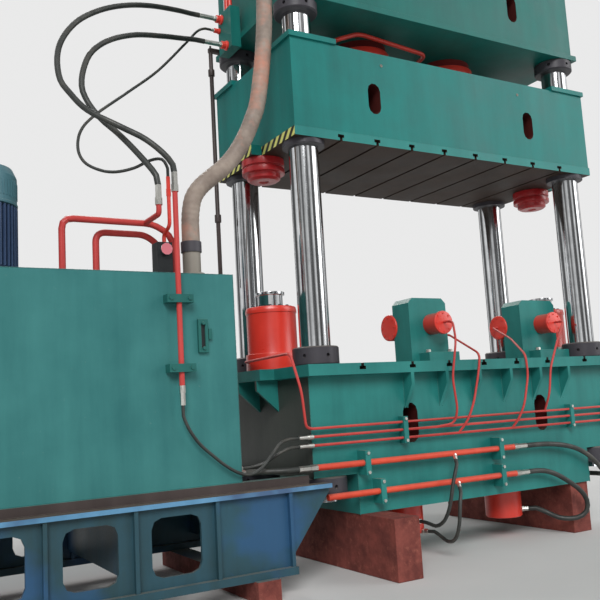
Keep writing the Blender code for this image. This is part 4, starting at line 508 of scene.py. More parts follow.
class Bench:
    slots: Dict[str, str] = {s["node"]: s["material_slot"] for s in frame["record"]["subparts"]}

    @classmethod
    def finish(cls, name: str, mesh: bpy.types.Mesh, coat: Coat, body: str, nodes: Sequence[str] = (),
               zones: Sequence[Zone] = (), sharp: Optional[float] = 35.0,
               slot: Optional[str] = None) -> bpy.types.Object:
        """Turns a mesh in the row frame into a finished piece.

        Args:
            name: the piece's name.
            mesh: its mesh, already in the row frame.
            coat: its main finish.
            body: the CAD body that it moves with.
            nodes: the CAD nodes that it stands for.
            zones: places with other finishes; the first that holds is used.
            sharp: the angle in degrees from which an edge stays crisp, or None where the shading is set.
            slot: not used.

        Returns:
            The piece.
        """
        mesh.name = name
        mesh.materials.clear()
        coats = [coat, *dict.fromkeys(z.coat for z in zones)]
        for item in coats:
            mesh.materials.append(item.made())
        index = {item: k for k, item in enumerate(coats)}
        shift = Vector((PRESS_X, 0, 0))
        for face in mesh.polygons:
            face.material_index = 0
            for zone in zones:
                if zone.holds(face.center - shift, face.normal):
                    face.material_index = index[zone.coat]
                    break
        if sharp is not None:
            mesh.polygons.foreach_set("use_smooth", [True] * len(mesh.polygons))
            mesh.set_sharp_from_angle(angle=math.radians(sharp))
        obj = placed(name, mesh)
        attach(obj, body)
        if nodes:
            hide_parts(*nodes)
        LOG.info("%s: %d faces", name, len(mesh.polygons))
        return obj

    @classmethod
    def from_bm(cls, name: str, bm: bmesh.types.BMesh, coat: Coat, body: str, nodes: Sequence[str] = (),
                zones: Sequence[Zone] = (), sharp: float = 35.0,
                slot: Optional[str] = None) -> bpy.types.Object:
        """Finishes a piece whose mesh was made about the press centre line.

        Args:
            name: the piece's name.
            bm: its mesh, which is freed.
            coat: its main finish.
            body: the CAD body that it moves with.
            nodes: the CAD nodes that it stands for.
            zones: places with other finishes; the first that holds is used.
            sharp: the angle in degrees from which an edge stays crisp.
            slot: the record's slot, where it isn't the first node's.

        Returns:
            The piece.
        """
        bmesh.ops.recalc_face_normals(bm, faces=bm.faces)
        bmesh.ops.translate(bm, verts=bm.verts, vec=(PRESS_X, 0, 0))
        return cls.finish(name, to_mesh(name, bm), coat, body, nodes, zones, sharp, slot)

    @classmethod
    def dress(cls, node: str, bm: bmesh.types.BMesh, coat: Coat, zones: Sequence[Zone] = (),
              sharp: float = 35.0) -> bpy.types.Object:
        """Covers a CAD node with a mesh that was made about the press centre line.

        Args:
            node: the CAD node, whose body the piece moves with.
            bm: the mesh, which is freed.
            coat: its main finish.
            zones: places with other finishes.
            sharp: the angle in degrees from which an edge stays crisp.

        Returns:
            The piece.
        """
        return cls.from_bm(node + "_dressed", bm, coat, frame["nodes"][node]["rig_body"], (node,), zones,
                           sharp)

    @classmethod
    def turned(cls, node: str, coat: Coat, profile: Sequence[Tuple[float, float]], soft: float,
               at: Point = (0, 0, 0), axis: str = "Z", sides: int = 72,
               zones: Sequence[Zone] = ()) -> bpy.types.Object:
        """Covers a round CAD node with a turned solid.

        Args:
            node: the CAD node.
            coat: its main finish.
            profile: radius and height of each corner.
            soft: how far from a corner its rounding begins.
            at: where the axis starts.
            axis: X, Y or Z.
            sides: how many facets go round.
            zones: places with other finishes.

        Returns:
            The piece.
        """
        bm = bmesh.new()
        turn(bm, eased(profile, soft), at, axis, sides)
        return cls.dress(node, bm, coat, zones)

    @classmethod
    def skin(cls, node: str, coat: Coat, zones: Sequence[Zone] = (), bevel: float = 0.004,
             angle: float = 40.0) -> bpy.types.Object:
        """Covers a CAD node with its own shape, with joined faces, eased edges and finishes by place.

        Args:
            node: the CAD node.
            coat: its main finish.
            zones: places with other finishes.
            bevel: the width of the eased edges.
            angle: the angle in degrees from which edges are eased and stay crisp.

        Returns:
            The piece.
        """
        source = frame["nodes"][node]
        bm = bmesh.new()
        bm.from_mesh(source.data)
        bmesh.ops.remove_doubles(bm, verts=bm.verts, dist=0.00003)
        bmesh.ops.dissolve_limit(bm, angle_limit=math.radians(0.4), verts=bm.verts, edges=bm.edges)
        mesh = to_mesh(node + "_eased", bm)
        mesh.polygons.foreach_set("use_smooth", [True] * len(mesh.polygons))
        obj = placed(node + "_eased", mesh)
        ease = obj.modifiers.new("ease", "BEVEL")
        ease.width = bevel
        ease.segments = 2
        ease.limit_method = "ANGLE"
        ease.angle_limit = math.radians(angle)
        ease.use_clamp_overlap = True
        level = obj.modifiers.new("level", "WEIGHTED_NORMAL")
        level.weight = 90
        level.keep_sharp = True
        graph = bpy.context.evaluated_depsgraph_get()
        made = bpy.data.meshes.new_from_object(obj.evaluated_get(graph))
        bpy.data.objects.remove(obj)
        low, high = ([pick(v.co[k] for v in source.data.vertices) for k in range(3)] for pick in (min, max))
        for vert in made.vertices:
            vert.co = [min(max(v, a), b) for v, a, b in zip(vert.co, low, high)]
        return cls.finish(node + "_dressed", made, coat, source["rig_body"], (node,), zones, None)


def eased(profile: Sequence[Tuple[float, float]], reach: float) -> List[Tuple[float, float]]:
    """Rounds the corners of a turned profile.

    Args:
        profile: radius and height of each corner.
        reach: how far from the corner the rounding begins.

    Returns:
        The rounded profile.
    """
    points = [Vector(p) for p in profile]
    made = [tuple(points[0])]
    for before, corner, after in zip(points, points[1:], points[2:]):
        back = before - corner
        ahead = after - corner
        size = min(reach, back.length * 0.4, ahead.length * 0.4)
        a = corner + back.normalized() * size
        b = corner + ahead.normalized() * size
        for t in (0.0, 0.33, 0.67, 1.0):
            made.append(tuple(a * (1 - t) ** 2 + corner * 2 * t * (1 - t) + b * t * t))
    made.append(tuple(points[-1]))
    return made


def turn(bm: bmesh.types.BMesh, profile: Sequence[Tuple[float, float]], at: Point = (0, 0, 0),
         axis: str = "Z", sides: int = 72) -> None:
    """Adds a turned solid.

    Args:
        bm: the mesh it is added to.
        profile: radius and height from one end of the axis to the other.
        at: where the axis starts.
        axis: X, Y or Z.
        sides: how many facets go round.
    """
    rings: List[List[bmesh.types.BMVert]] = []
    for radius, height in profile:
        ring = []
        for k in range(1 if radius < 1e-6 else sides):
            a = 2 * math.pi * k / sides
            u, v = radius * math.cos(a), radius * math.sin(a)
            spot = {"Z": (u, v, height), "Y": (v, height, u), "X": (height, u, v)}[axis]
            ring.append(bm.verts.new(Vector(spot) + Vector(at)))
        rings.append(ring)
    for low, high in zip(rings, rings[1:]):
        if len(low) == 1 and len(high) == 1:
            continue
        for k in range(sides):
            quad = [low[k % len(low)], low[(k + 1) % len(low)],
                    high[(k + 1) % len(high)], high[k % len(high)]]
            bm.faces.new(list(dict.fromkeys(quad)))


def smooth_route(points: Sequence[Point], spacing: float) -> List[Vector]:
    """A smooth line through a route whose first and last legs stay straight.

    Args:
        points: the route's points.
        spacing: about how far apart the line's points are.

    Returns:
        The line.
    """
    knots = [Vector(p) for p in points]
    fine: List[Vector] = []
    for p0, p1, p2, p3 in zip(knots, knots[1:], knots[2:], knots[3:]):
        for k in range(24):
            t = k / 24
            fine.append(0.5 * ((2 * p1) + (p2 - p0) * t + (2 * p0 - 5 * p1 + 4 * p2 - p3) * t * t
                               + (3 * p1 - p0 - 3 * p2 + p3) * t ** 3))
    fine.append(knots[-2])
    lengths = [0.0]
    for a, b in zip(fine, fine[1:]):
        lengths.append(lengths[-1] + (b - a).length)
    count = max(3, round(lengths[-1] / spacing))
    picked = [knots[0]]
    index = 0
    for k in range(count + 1):
        goal = lengths[-1] * k / count
        while index < len(fine) - 2 and lengths[index + 1] < goal:
            index += 1
        part = (goal - lengths[index]) / max(lengths[index + 1] - lengths[index], 1e-6)
        picked.append(fine[index].lerp(fine[index + 1], min(1.0, part)))
    return [*picked, knots[-1]]


def bent_route(points: Sequence[Point], radius: float, steps: int = 8) -> List[Vector]:
    """The centre line of a bent pipe.

    Args:
        points: its corners.
        radius: how far from a corner the bend begins.
        steps: pieces to a bend.

    Returns:
        The line.
    """
    route = [Vector(points[0])]
    for before, corner, after in zip(points, points[1:], points[2:]):
        corner = Vector(corner)
        back = Vector(before) - corner
        ahead = Vector(after) - corner
        reach = min(radius, back.length * 0.45, ahead.length * 0.45)
        a = corner + back.normalized() * reach
        b = corner + ahead.normalized() * reach
        for k in range(steps + 1):
            t = k / steps
            route.append(a * (1 - t) ** 2 + corner * 2 * t * (1 - t) + b * t * t)
    route.append(Vector(points[-1]))
    return route


def sweep(bm: bmesh.types.BMesh, line: Sequence[Vector], radius: Callable[[float], float],
          sides: int = 24) -> None:
    """Adds a round bar along a line.

    Args:
        bm: the mesh it is added to.
        line: the centre line.
        radius: gives the radius at a distance along the line.
        sides: how many facets go round.
    """
    points = [Vector(p) for p in line]
    points = [p for k, p in enumerate(points) if k == 0 or (p - points[k - 1]).length > 1e-6]
    ways = [(b - a).normalized() for a, b in zip(points, points[1:])]
    tangents = [ways[0], *[(a + b).normalized() for a, b in zip(ways, ways[1:])], ways[-1]]
    side = tangents[0].orthogonal().normalized()
    rings = []
    run = 0.0
    for k, (point, way) in enumerate(zip(points, tangents)):
        if k:
            side = (tangents[k - 1].rotation_difference(way) @ side)
            side = (side - way * side.dot(way)).normalized()
            run += (point - points[k - 1]).length
        up = way.cross(side)
        r = radius(run)
        rings.append([bm.verts.new(point + (side * math.cos(2 * math.pi * j / sides)
                                            + up * math.sin(2 * math.pi * j / sides)) * r)
                      for j in range(sides)])
    for low, high in zip(rings, rings[1:]):
        for j in range(sides):
            bm.faces.new((low[j], low[(j + 1) % sides], high[(j + 1) % sides], high[j]))
    bm.faces.new(rings[0])
    bm.faces.new(rings[-1])


class Growth(Wiring):
    """A Geometry Nodes tree with named sizes, whose result is taken as a plain mesh."""

    def __init__(self, name: str) -> None:
        """Makes the empty tree.

        Args:
            name: the tree's name.
        """
        self.tree = bpy.data.node_groups.new(name, "GeometryNodeTree")
        self.tree.interface.new_socket(name="Mesh", in_out="OUTPUT", socket_type="NodeSocketGeometry")
        self.inlet = self.tree.nodes.new("NodeGroupInput")
        self.outlet = self.tree.nodes.new("NodeGroupOutput")
        self.keys: Dict[str, str] = {}

    def size(self, name: str, kind: str = "NodeSocketFloat") -> bpy.types.NodeSocket:
        """Adds a named input.

        Args:
            name: the input's name.
            kind: its socket type.

        Returns:
            The socket to link from.
        """
        item = self.tree.interface.new_socket(name=name, in_out="INPUT", socket_type=kind)
        self.keys[name] = item.identifier
        return self.inlet.outputs[name]

    def add(self, kind: str, **inputs: object) -> bpy.types.Node:
        """Adds a node, with its inputs' spaces written as underscores.

        Args:
            kind: the node's type.
            inputs: sockets to link or values to set, by input name.

        Returns:
            The node.
        """
        node = self.tree.nodes.new(kind)
        for name, value in inputs.items():
            self.put(node.inputs[name.replace("_", " ")], value)
        return node

    def end(self, geometry: bpy.types.NodeSocket) -> None:
        """Realizes the result, paints it and links it out.

        Args:
            geometry: what the tree made.
        """
        whole = self.add("GeometryNodeRealizeInstances", Geometry=geometry)
        paint = self.add("GeometryNodeSetMaterial", Geometry=whole.outputs["Geometry"],
                         Material=self.size("Finish", "NodeSocketMaterial"))
        self.tree.links.new(paint.outputs["Geometry"], self.outlet.inputs["Mesh"])

    def mesh(self, sizes: Dict[str, object], coat: Coat, matrix: Matrix) -> bpy.types.Mesh:
        """Runs the tree.

        Args:
            sizes: the named inputs.
            coat: the finish.
            matrix: where the result goes.

        Returns:
            A plain mesh.
        """
        host = placed("growth", bpy.data.meshes.new("growth"))
        modifier = host.modifiers.new("growth", "NODES")
        modifier.node_group = self.tree
        for name, value in {**sizes, "Finish": coat.made()}.items():
            modifier[self.keys[name]] = value
        graph = bpy.context.evaluated_depsgraph_get()
        made = bpy.data.meshes.new_from_object(host.evaluated_get(graph))
        bpy.data.objects.remove(host)
        made.transform(matrix)
        return made


class BoltCircle(Growth):
    """Bolt heads on a circle, each a hexagon with a washer under it."""

    def __init__(self) -> None:
        """Builds the tree."""
        super().__init__("bolt_circle")
        count = self.size("Count", "NodeSocketInt")
        circle = self.add("GeometryNodeMeshCircle", Vertices=count, Radius=self.size("Radius"))
        across = self.size("Across")
        height = self.size("Height")
        head = self.add("GeometryNodeMeshCylinder", Vertices=6, Radius=self.math("MULTIPLY", across, 0.5),
                        Depth=height)
        washer = self.add("GeometryNodeMeshCylinder", Vertices=20, Radius=self.math("MULTIPLY", across, 0.64),
                          Depth=self.math("MULTIPLY", height, 0.35))
        both = self.add("GeometryNodeJoinGeometry")
        self.tree.links.new(head.outputs["Mesh"], both.inputs[0])
        self.tree.links.new(washer.outputs["Mesh"], both.inputs[0])
        placed = self.add("GeometryNodeInstanceOnPoints", Points=circle.outputs["Mesh"],
                          Instance=both.outputs[0])
        self.end(placed.outputs["Instances"])


class FinCircle(Growth):
    """Flat bars on a circle that stand out from its middle, for fins and air slots."""

    def __init__(self) -> None:
        """Builds the tree."""
        super().__init__("fin_circle")
        count = self.size("Count", "NodeSocketInt")
        circle = self.add("GeometryNodeMeshCircle", Vertices=count, Radius=self.size("Radius"))
        bar = self.add("GeometryNodeMeshCube", Size=self.size("Bar", "NodeSocketVector"))
        index = self.add("GeometryNodeInputIndex").outputs[0]
        spin = self.add("ShaderNodeCombineXYZ",
                        Z=self.math("MULTIPLY", index, self.math("DIVIDE", 2 * math.pi, count)))
        placed = self.add("GeometryNodeInstanceOnPoints", Points=circle.outputs["Mesh"],
                          Instance=bar.outputs["Mesh"], Rotation=spin.outputs[0])
        self.end(placed.outputs["Instances"])


class WeldRun(Growth):
    """A weld bead: uneven lumps laid close along a straight seam."""

    def __init__(self) -> None:
        """Builds the tree."""
        super().__init__("weld_run")
        far = self.add("ShaderNodeCombineXYZ", X=self.size("Length"))
        line = self.add("GeometryNodeCurvePrimitiveLine", End=far.outputs[0])
        points = self.tree.nodes.new("GeometryNodeResampleCurve")
        points.mode = "LENGTH"
        self.tree.links.new(line.outputs["Curve"], points.inputs["Curve"])
        self.tree.links.new(self.size("Pitch"), points.inputs["Length"])
        lump = self.add("GeometryNodeMeshIcoSphere", Radius=self.size("Bead"), Subdivisions=1)
        swell = self.tree.nodes.new("FunctionNodeRandomValue")
        swell.data_type = "FLOAT_VECTOR"
        swell.inputs["Min"].default_value = (0.95, 0.8, 0.8)
        swell.inputs["Max"].default_value = (1.35, 1.15, 1.15)
        self.tree.links.new(self.size("Seed", "NodeSocketInt"), swell.inputs["Seed"])
        placed = self.add("GeometryNodeInstanceOnPoints", Points=points.outputs["Curve"],
                          Instance=lump.outputs["Mesh"], Scale=swell.outputs[0])
        self.end(placed.outputs["Instances"])


@dataclass
class Trees:
    """The Geometry Nodes trees that the sub-assemblies share."""

    bolts: BoltCircle = field(default_factory=BoltCircle)
    fins: FinCircle = field(default_factory=FinCircle)
    welds: WeldRun = field(default_factory=WeldRun)

    def joined(self, name: str, meshes: Iterable[bpy.types.Mesh], coat: Coat, body: str, slot: str,
               sharp: float = 35.0) -> bpy.types.Object:
        """Joins grown meshes into one piece.

        Args:
            name: the piece's name.
            meshes: the grown meshes, about the press centre line.
            coat: its finish.
            body: the body that it moves with.
            slot: the record's slot.
            sharp: the angle from which an edge stays crisp.

        Returns:
            The piece.
        """
        bm = bmesh.new()
        for mesh in meshes:
            bm.from_mesh(mesh)
            bpy.data.meshes.remove(mesh)
        return Bench.from_bm(name, bm, coat, body, slot=slot, sharp=sharp)

    def seams(self, name: str, lines: Sequence[Tuple[Point, Point]], coat: Coat, body: str, slot: str,
              bead: float = 0.007) -> bpy.types.Object:
        """Lays weld beads along straight seams.

        Args:
            name: the piece's name.
            lines: both ends of each seam about the press centre line.
            coat: the finish.
            body: the body that it moves with.
            slot: the record's slot.
            bead: the bead's radius.

        Returns:
            The piece.
        """
        made = []
        for seed, (start, end) in enumerate(lines):
            way = Vector(end) - Vector(start)
            heading = Vector((1, 0, 0)).rotation_difference(way).to_matrix().to_4x4()
            sizes = {"Length": way.length, "Pitch": bead * 1.9, "Bead": bead, "Seed": seed}
            made.append(self.welds.mesh(sizes, coat, Matrix.Translation(start) @ heading))
        return self.joined(name, made, coat, body, slot, 80.0)

    def circle(self, count: int, radius: float, across: float, height: float, at: Point, axis: str,
               coat: Coat) -> bpy.types.Mesh:
        """Bolt heads on a circle.

        Args:
            count: how many.
            radius: the circle's radius.
            across: the heads' width.
            height: the heads' height.
            at: the circle's middle, halfway up the heads.
            axis: the way the heads point, X, Y or Z.
            coat: the finish.

        Returns:
            The mesh about the press centre line.
        """
        turns = {"Z": Matrix(), "Y": Matrix.Rotation(math.pi / 2, 4, "X"),
                 "X": Matrix.Rotation(math.pi / 2, 4, "Y")}
        sizes = {"Count": count, "Radius": radius, "Across": across, "Height": height}
        return self.bolts.mesh(sizes, coat, Matrix.Translation(at) @ turns[axis])


@dataclass
class Columns:
    """The four chromed columns with their spanner nuts and end threads."""

    trees: Trees
    diameter: float = 0.28
    x: float = 1.7475
    y: float = 0.6175
    low: float = 0.6450
    high: float = 6.7053
    nut: float = 0.42
    chamfer: float = 0.012
    hole: float = 0.034
    hole_depth: float = 0.032
    pitch: float = 0.0065
    thread: float = 0.045
    thread_depth: float = 0.004
    # Each nut's foot and height
    stacks: Tuple[Tuple[float, float], ...] = ((0.695, 0.165), (1.8306, 0.165), (5.1547, 0.115),
                                               (6.4903, 0.165))

    def nut_mesh(self, height: float) -> bpy.types.Mesh:
        """A round nut with chamfers and six spanner holes.

        Args:
            height: its height.

        Returns:
            The nut, standing at the origin.
        """
        r, bore, soft = self.nut / 2, self.diameter / 2 - 0.002, self.chamfer
        bm = bmesh.new()
        turn(bm, [(bore, 0), (r - soft, 0), (r, soft), (r, height - soft), (r - soft, height),
                  (bore, height), (bore, 0)])
        bmesh.ops.remove_doubles(bm, verts=bm.verts, dist=1e-6)
        bmesh.ops.recalc_face_normals(bm, faces=bm.faces)
        host = placed("nut", to_mesh("nut", bm))
        drill = bmesh.new()
        width, outside, floor = self.hole / 2, r + 0.01, r - self.hole_depth
        for k in range(3):
            pair = bmesh.new()
            for side in (-1, 1):
                turn(pair, [(0, side * outside), (width, side * outside), (width, side * floor),
                            (0, side * floor)], (0, 0, height / 2), "Y", 20)
            bmesh.ops.rotate(pair, verts=pair.verts, cent=(0, 0, 0),
                             matrix=Matrix.Rotation(k * math.pi / 3, 3, "Z"))
            part = to_mesh("holes", pair)
            drill.from_mesh(part)
            bpy.data.meshes.remove(part)
        bmesh.ops.recalc_face_normals(drill, faces=drill.faces)
        tool = placed("drill", to_mesh("drill", drill))
        cut = host.modifiers.new("holes", "BOOLEAN")
        cut.operation = "DIFFERENCE"
        cut.object = tool
        graph = bpy.context.evaluated_depsgraph_get()
        made = bpy.data.meshes.new_from_object(host.evaluated_get(graph))
        for obj in (host, tool):
            bpy.data.objects.remove(obj)
        return made

    def shaft(self) -> List[Tuple[float, float]]:
        """The shaft's profile, with a thread at each end.

        Returns:
            Radius and height of each corner.
        """
        r = self.diameter / 2
        low = [(r - self.thread_depth * (k % 2), self.low + k * self.pitch / 2)
               for k in range(round(2 * self.thread / self.pitch))]
        high = [(radius, self.high - (z - self.low)) for radius, z in reversed(low)]
        return [(0, self.low), *low, (r, self.low + self.thread), (r, self.high - self.thread), *high,
                (0, self.high)]

    def build(self) -> None:
        """Builds the columns and their nuts."""
        nuts = {height: self.nut_mesh(height) for height in {h for _, h in self.stacks}}
        for front, y in (("front", -self.y), ("back", self.y)):
            for word, x in (("left", -self.x), ("right", self.x)):
                bm = bmesh.new()
                turn(bm, self.shaft(), (x, y, 0), sides=96)
                node = f"column_{front}_{word}"
                Bench.from_bm(node + "_shaft", bm, Coat.CHROME, "root", (node,), sharp=25)
                bm = bmesh.new()
                for z, height in self.stacks:
                    copy = nuts[height].copy()
                    copy.transform(Matrix.Translation((x, y, z)))
                    bm.from_mesh(copy)
                    bpy.data.meshes.remove(copy)
                Bench.from_bm(node + "_nuts", bm, Coat.NUT, "root", slot="fitting_steel")


@dataclass
class Weldments:
    """Base, slide, crown and clamp blocks, with their seams."""

    trees: Trees
    base_half_l: float = 1.93
    base_half_w: float = 0.77
    base_leg_x: float = 1.48
    table_half_l: float = 2.00
    gusset_x: Tuple[float, ...] = (-0.89, -0.475, -0.06, 0.355, 0.77, 1.185)
    gusset_half_t: float = 0.0175
    gusset_h: float = 0.32
    # How far the slots' own finish reaches from the table's top and the slide's underside
    slot_reach: float = 0.062
    slots_half_l: float = 1.5
    slide_half_l: float = 1.942
    slide_half_w: float = 0.812
    plate: float = 0.085
    crown_half_l: float = 1.88
    crown_half_w: float = 0.79
    crown_plate: float = 0.06
    bead: float = 0.006
    plug: float = 0.015
    plug_bore: float = 0.007
    plug_spots: Tuple[Tuple[float, float], ...] = ((-0.921, 4.723), (0.909, 4.707))
    # Each kind of window: distance from the middle, height, half its width and half its height
    base_window: Tuple[float, ...] = (0.85, 1.2703, 0.085, 0.185)
    slide_window: Tuple[float, ...] = (1.03, 4.37, 0.0725, 0.155)
    crown_window: Tuple[float, ...] = (0.98, 5.73, 0.07, 0.155)
    # The space round the fitting where the upper right hose ends
    hose_fitting: Tuple[Point, Point] = ((1.4805, -0.51, 0.50), (1.60, -0.40, 0.62))

    def pocket(self, window: Tuple[float, ...], face: float) -> Test:
        """Finds the faces inside the oval windows.

        Args:
            window: the windows' distance from the middle, height, half width and half height.
            face: the distance of the faces that they open in.

        Returns:
            The test.
        """
        x, z, half_l, half_h = window
        return lambda c, n: (abs(abs(c.x) - x) < half_l + 0.002 and abs(c.z - z) < half_h + 0.002
                             and 0.2 < abs(c.y) < face - 0.004)

    def base(self) -> None:
        """Builds the base's looks."""
        floor, end, slots_end = TABLE_Z - self.slot_reach, self.table_half_l + 0.01, self.slots_half_l
        zones = (Zone(Coat.POCKET, self.pocket(self.base_window, self.base_half_w)),
                 Zone(Coat.ZINC, inside(*self.hose_fitting)),
                 Zone(Coat.TABLE, lambda c, n: n.z > 0.9 and c.z > TABLE_Z - 0.01 and abs(c.x) < end),
                 Zone(Coat.TABLE, lambda c, n: c.z > floor and abs(n.y) < 0.5 and abs(c.x) < slots_end),
                 # The left end face below the table is painted grey as painted shade
                 Zone(Coat.END_PAINTED_SHADE, lambda c, n: n.x < -0.9 and c.x < -1.9 and c.z < TABLE_LOW_Z))
        Bench.skin("base", Coat.TABLE_GREEN, zones)
        half_l, half_w, leg = self.base_half_l, self.base_half_w, self.base_leg_x
        lines: List[Tuple[Point, Point]] = []
        for side in (-1, 1):
            x, y = side * half_l, side * half_w
            lines += [((-half_l, y, TABLE_LOW_Z), (half_l, y, TABLE_LOW_Z)),
                      ((-leg, y, BASE_END_Z), (-leg, y, BASE_LOW_Z)),
                      ((leg, y, BASE_LOW_Z), (leg, y, BASE_END_Z)),
                      ((x, -half_w, TABLE_LOW_Z), (x, half_w, TABLE_LOW_Z)),
                      ((x, -half_w, BASE_END_Z), (x, -half_w, TABLE_LOW_Z)),
                      ((x, half_w, BASE_END_Z), (x, half_w, TABLE_LOW_Z))]
            for middle in self.gusset_x:
                for edge in (-self.gusset_half_t, self.gusset_half_t):
                    foot = (middle + edge, y, TABLE_LOW_Z - self.gusset_h)
                    lines.append((foot, (middle + edge, y, TABLE_LOW_Z)))
        self.trees.seams("base_seams", lines, Coat.TABLE_GREEN, "root", "press_green", self.bead)

    def slide(self) -> None:
        """Builds the slide's looks, with its caution bands, bush rings and threaded plugs."""
        low, top = SLIDE_LOW_Z, SLIDE_TOP_Z
        band, slots, slots_end = low + self.plate + 0.002, low + self.slot_reach, self.slots_half_l
        zones = (Zone(Coat.POCKET, self.pocket(self.slide_window, self.slide_half_w)),
                 Zone(Coat.NUT, lambda c, n: c.z < low - 0.0005 or (c.z > top + 0.0505)),
                 Zone(Coat.BANDS, lambda c, n: n.x < -0.9 and c.x < -1.93 and c.z < band),
                 Zone(Coat.PLATE, lambda c, n: abs(n.y) > 0.9 and abs(c.y) > 0.816 and c.z < band),
                 Zone(Coat.UNDER, lambda c, n: n.z < -0.5 and c.z < low + 0.01),
                 Zone(Coat.UNDER, lambda c, n: c.z < slots and abs(n.y) < 0.5 and abs(c.x) < slots_end))
        Bench.skin("slide", Coat.GREEN, zones)
        half_l, half_w, seam = self.slide_half_l, self.slide_half_w, low + self.plate
        lines: List[Tuple[Point, Point]] = []
        for side in (-1, 1):
            x, y = side * half_l, side * half_w
            lines += [((-half_l, y, seam), (half_l, y, seam)), ((x, -half_w, seam), (x, half_w, seam))]
        self.trees.seams("slide_seams", lines, Coat.GREEN, "slide", "press_green", self.bead)
        bm = bmesh.new()
        for x, z in self.plug_spots:
            for side in (-1, 1):
                face = side * (half_w + 0.0002)
                rim, dish = face + side * 0.005, face + side * 0.001
                profile = [(0, face), (self.plug, face), (self.plug, rim), (self.plug_bore, rim),
                           (self.plug_bore, dish), (0, dish)]
                turn(bm, eased(profile, 0.001), (x, 0, z), "Y", 28)
        Bench.from_bm("slide_plugs", bm, Coat.GREY, "slide", slot="fitting_steel")

    def crown(self) -> None:
        """Builds the crown's looks."""
        zones = (Zone(Coat.POCKET, self.pocket(self.crown_window, self.crown_half_w)),)
        Bench.skin("crown", Coat.DIM_GREEN, zones)
        half_l, half_w, lip = self.crown_half_l, self.crown_half_w, 0.0002
        lines: List[Tuple[Point, Point]] = []
        for side in (-1, 1):
            x, y = side * (half_l + lip), side * (half_w + lip)
            for z in (CROWN_LOW_Z + self.crown_plate, CROWN_TOP_Z - self.crown_plate):
                lines += [((-half_l, y, z), (half_l, y, z)), ((x, -half_w, z), (x, half_w, z))]
        self.trees.seams("crown_seams", lines, Coat.DIM_GREEN, "root", "press_green", self.bead)

    def blocks(self) -> None:
        """Builds the clamp blocks' looks."""
        heads = Zone(Coat.ZINC, lambda c, n: 1.9308 < c.z < 1.97 and c.y < -0.475)
        for word in ("left", "right"):
            Bench.skin("clamp_block_" + word, Coat.TABLE_GREEN, (heads,), 0.003)

    def supports(self) -> None:
        """Builds the rusty beams under the base."""
        for word in ("left", "right"):
            Bench.skin("support_beam_" + word, Coat.RUST, bevel=0.006)

    def build(self) -> None:
        """Builds all of them."""
        self.base()
        self.slide()
        self.crown()
        self.blocks()
        self.supports()


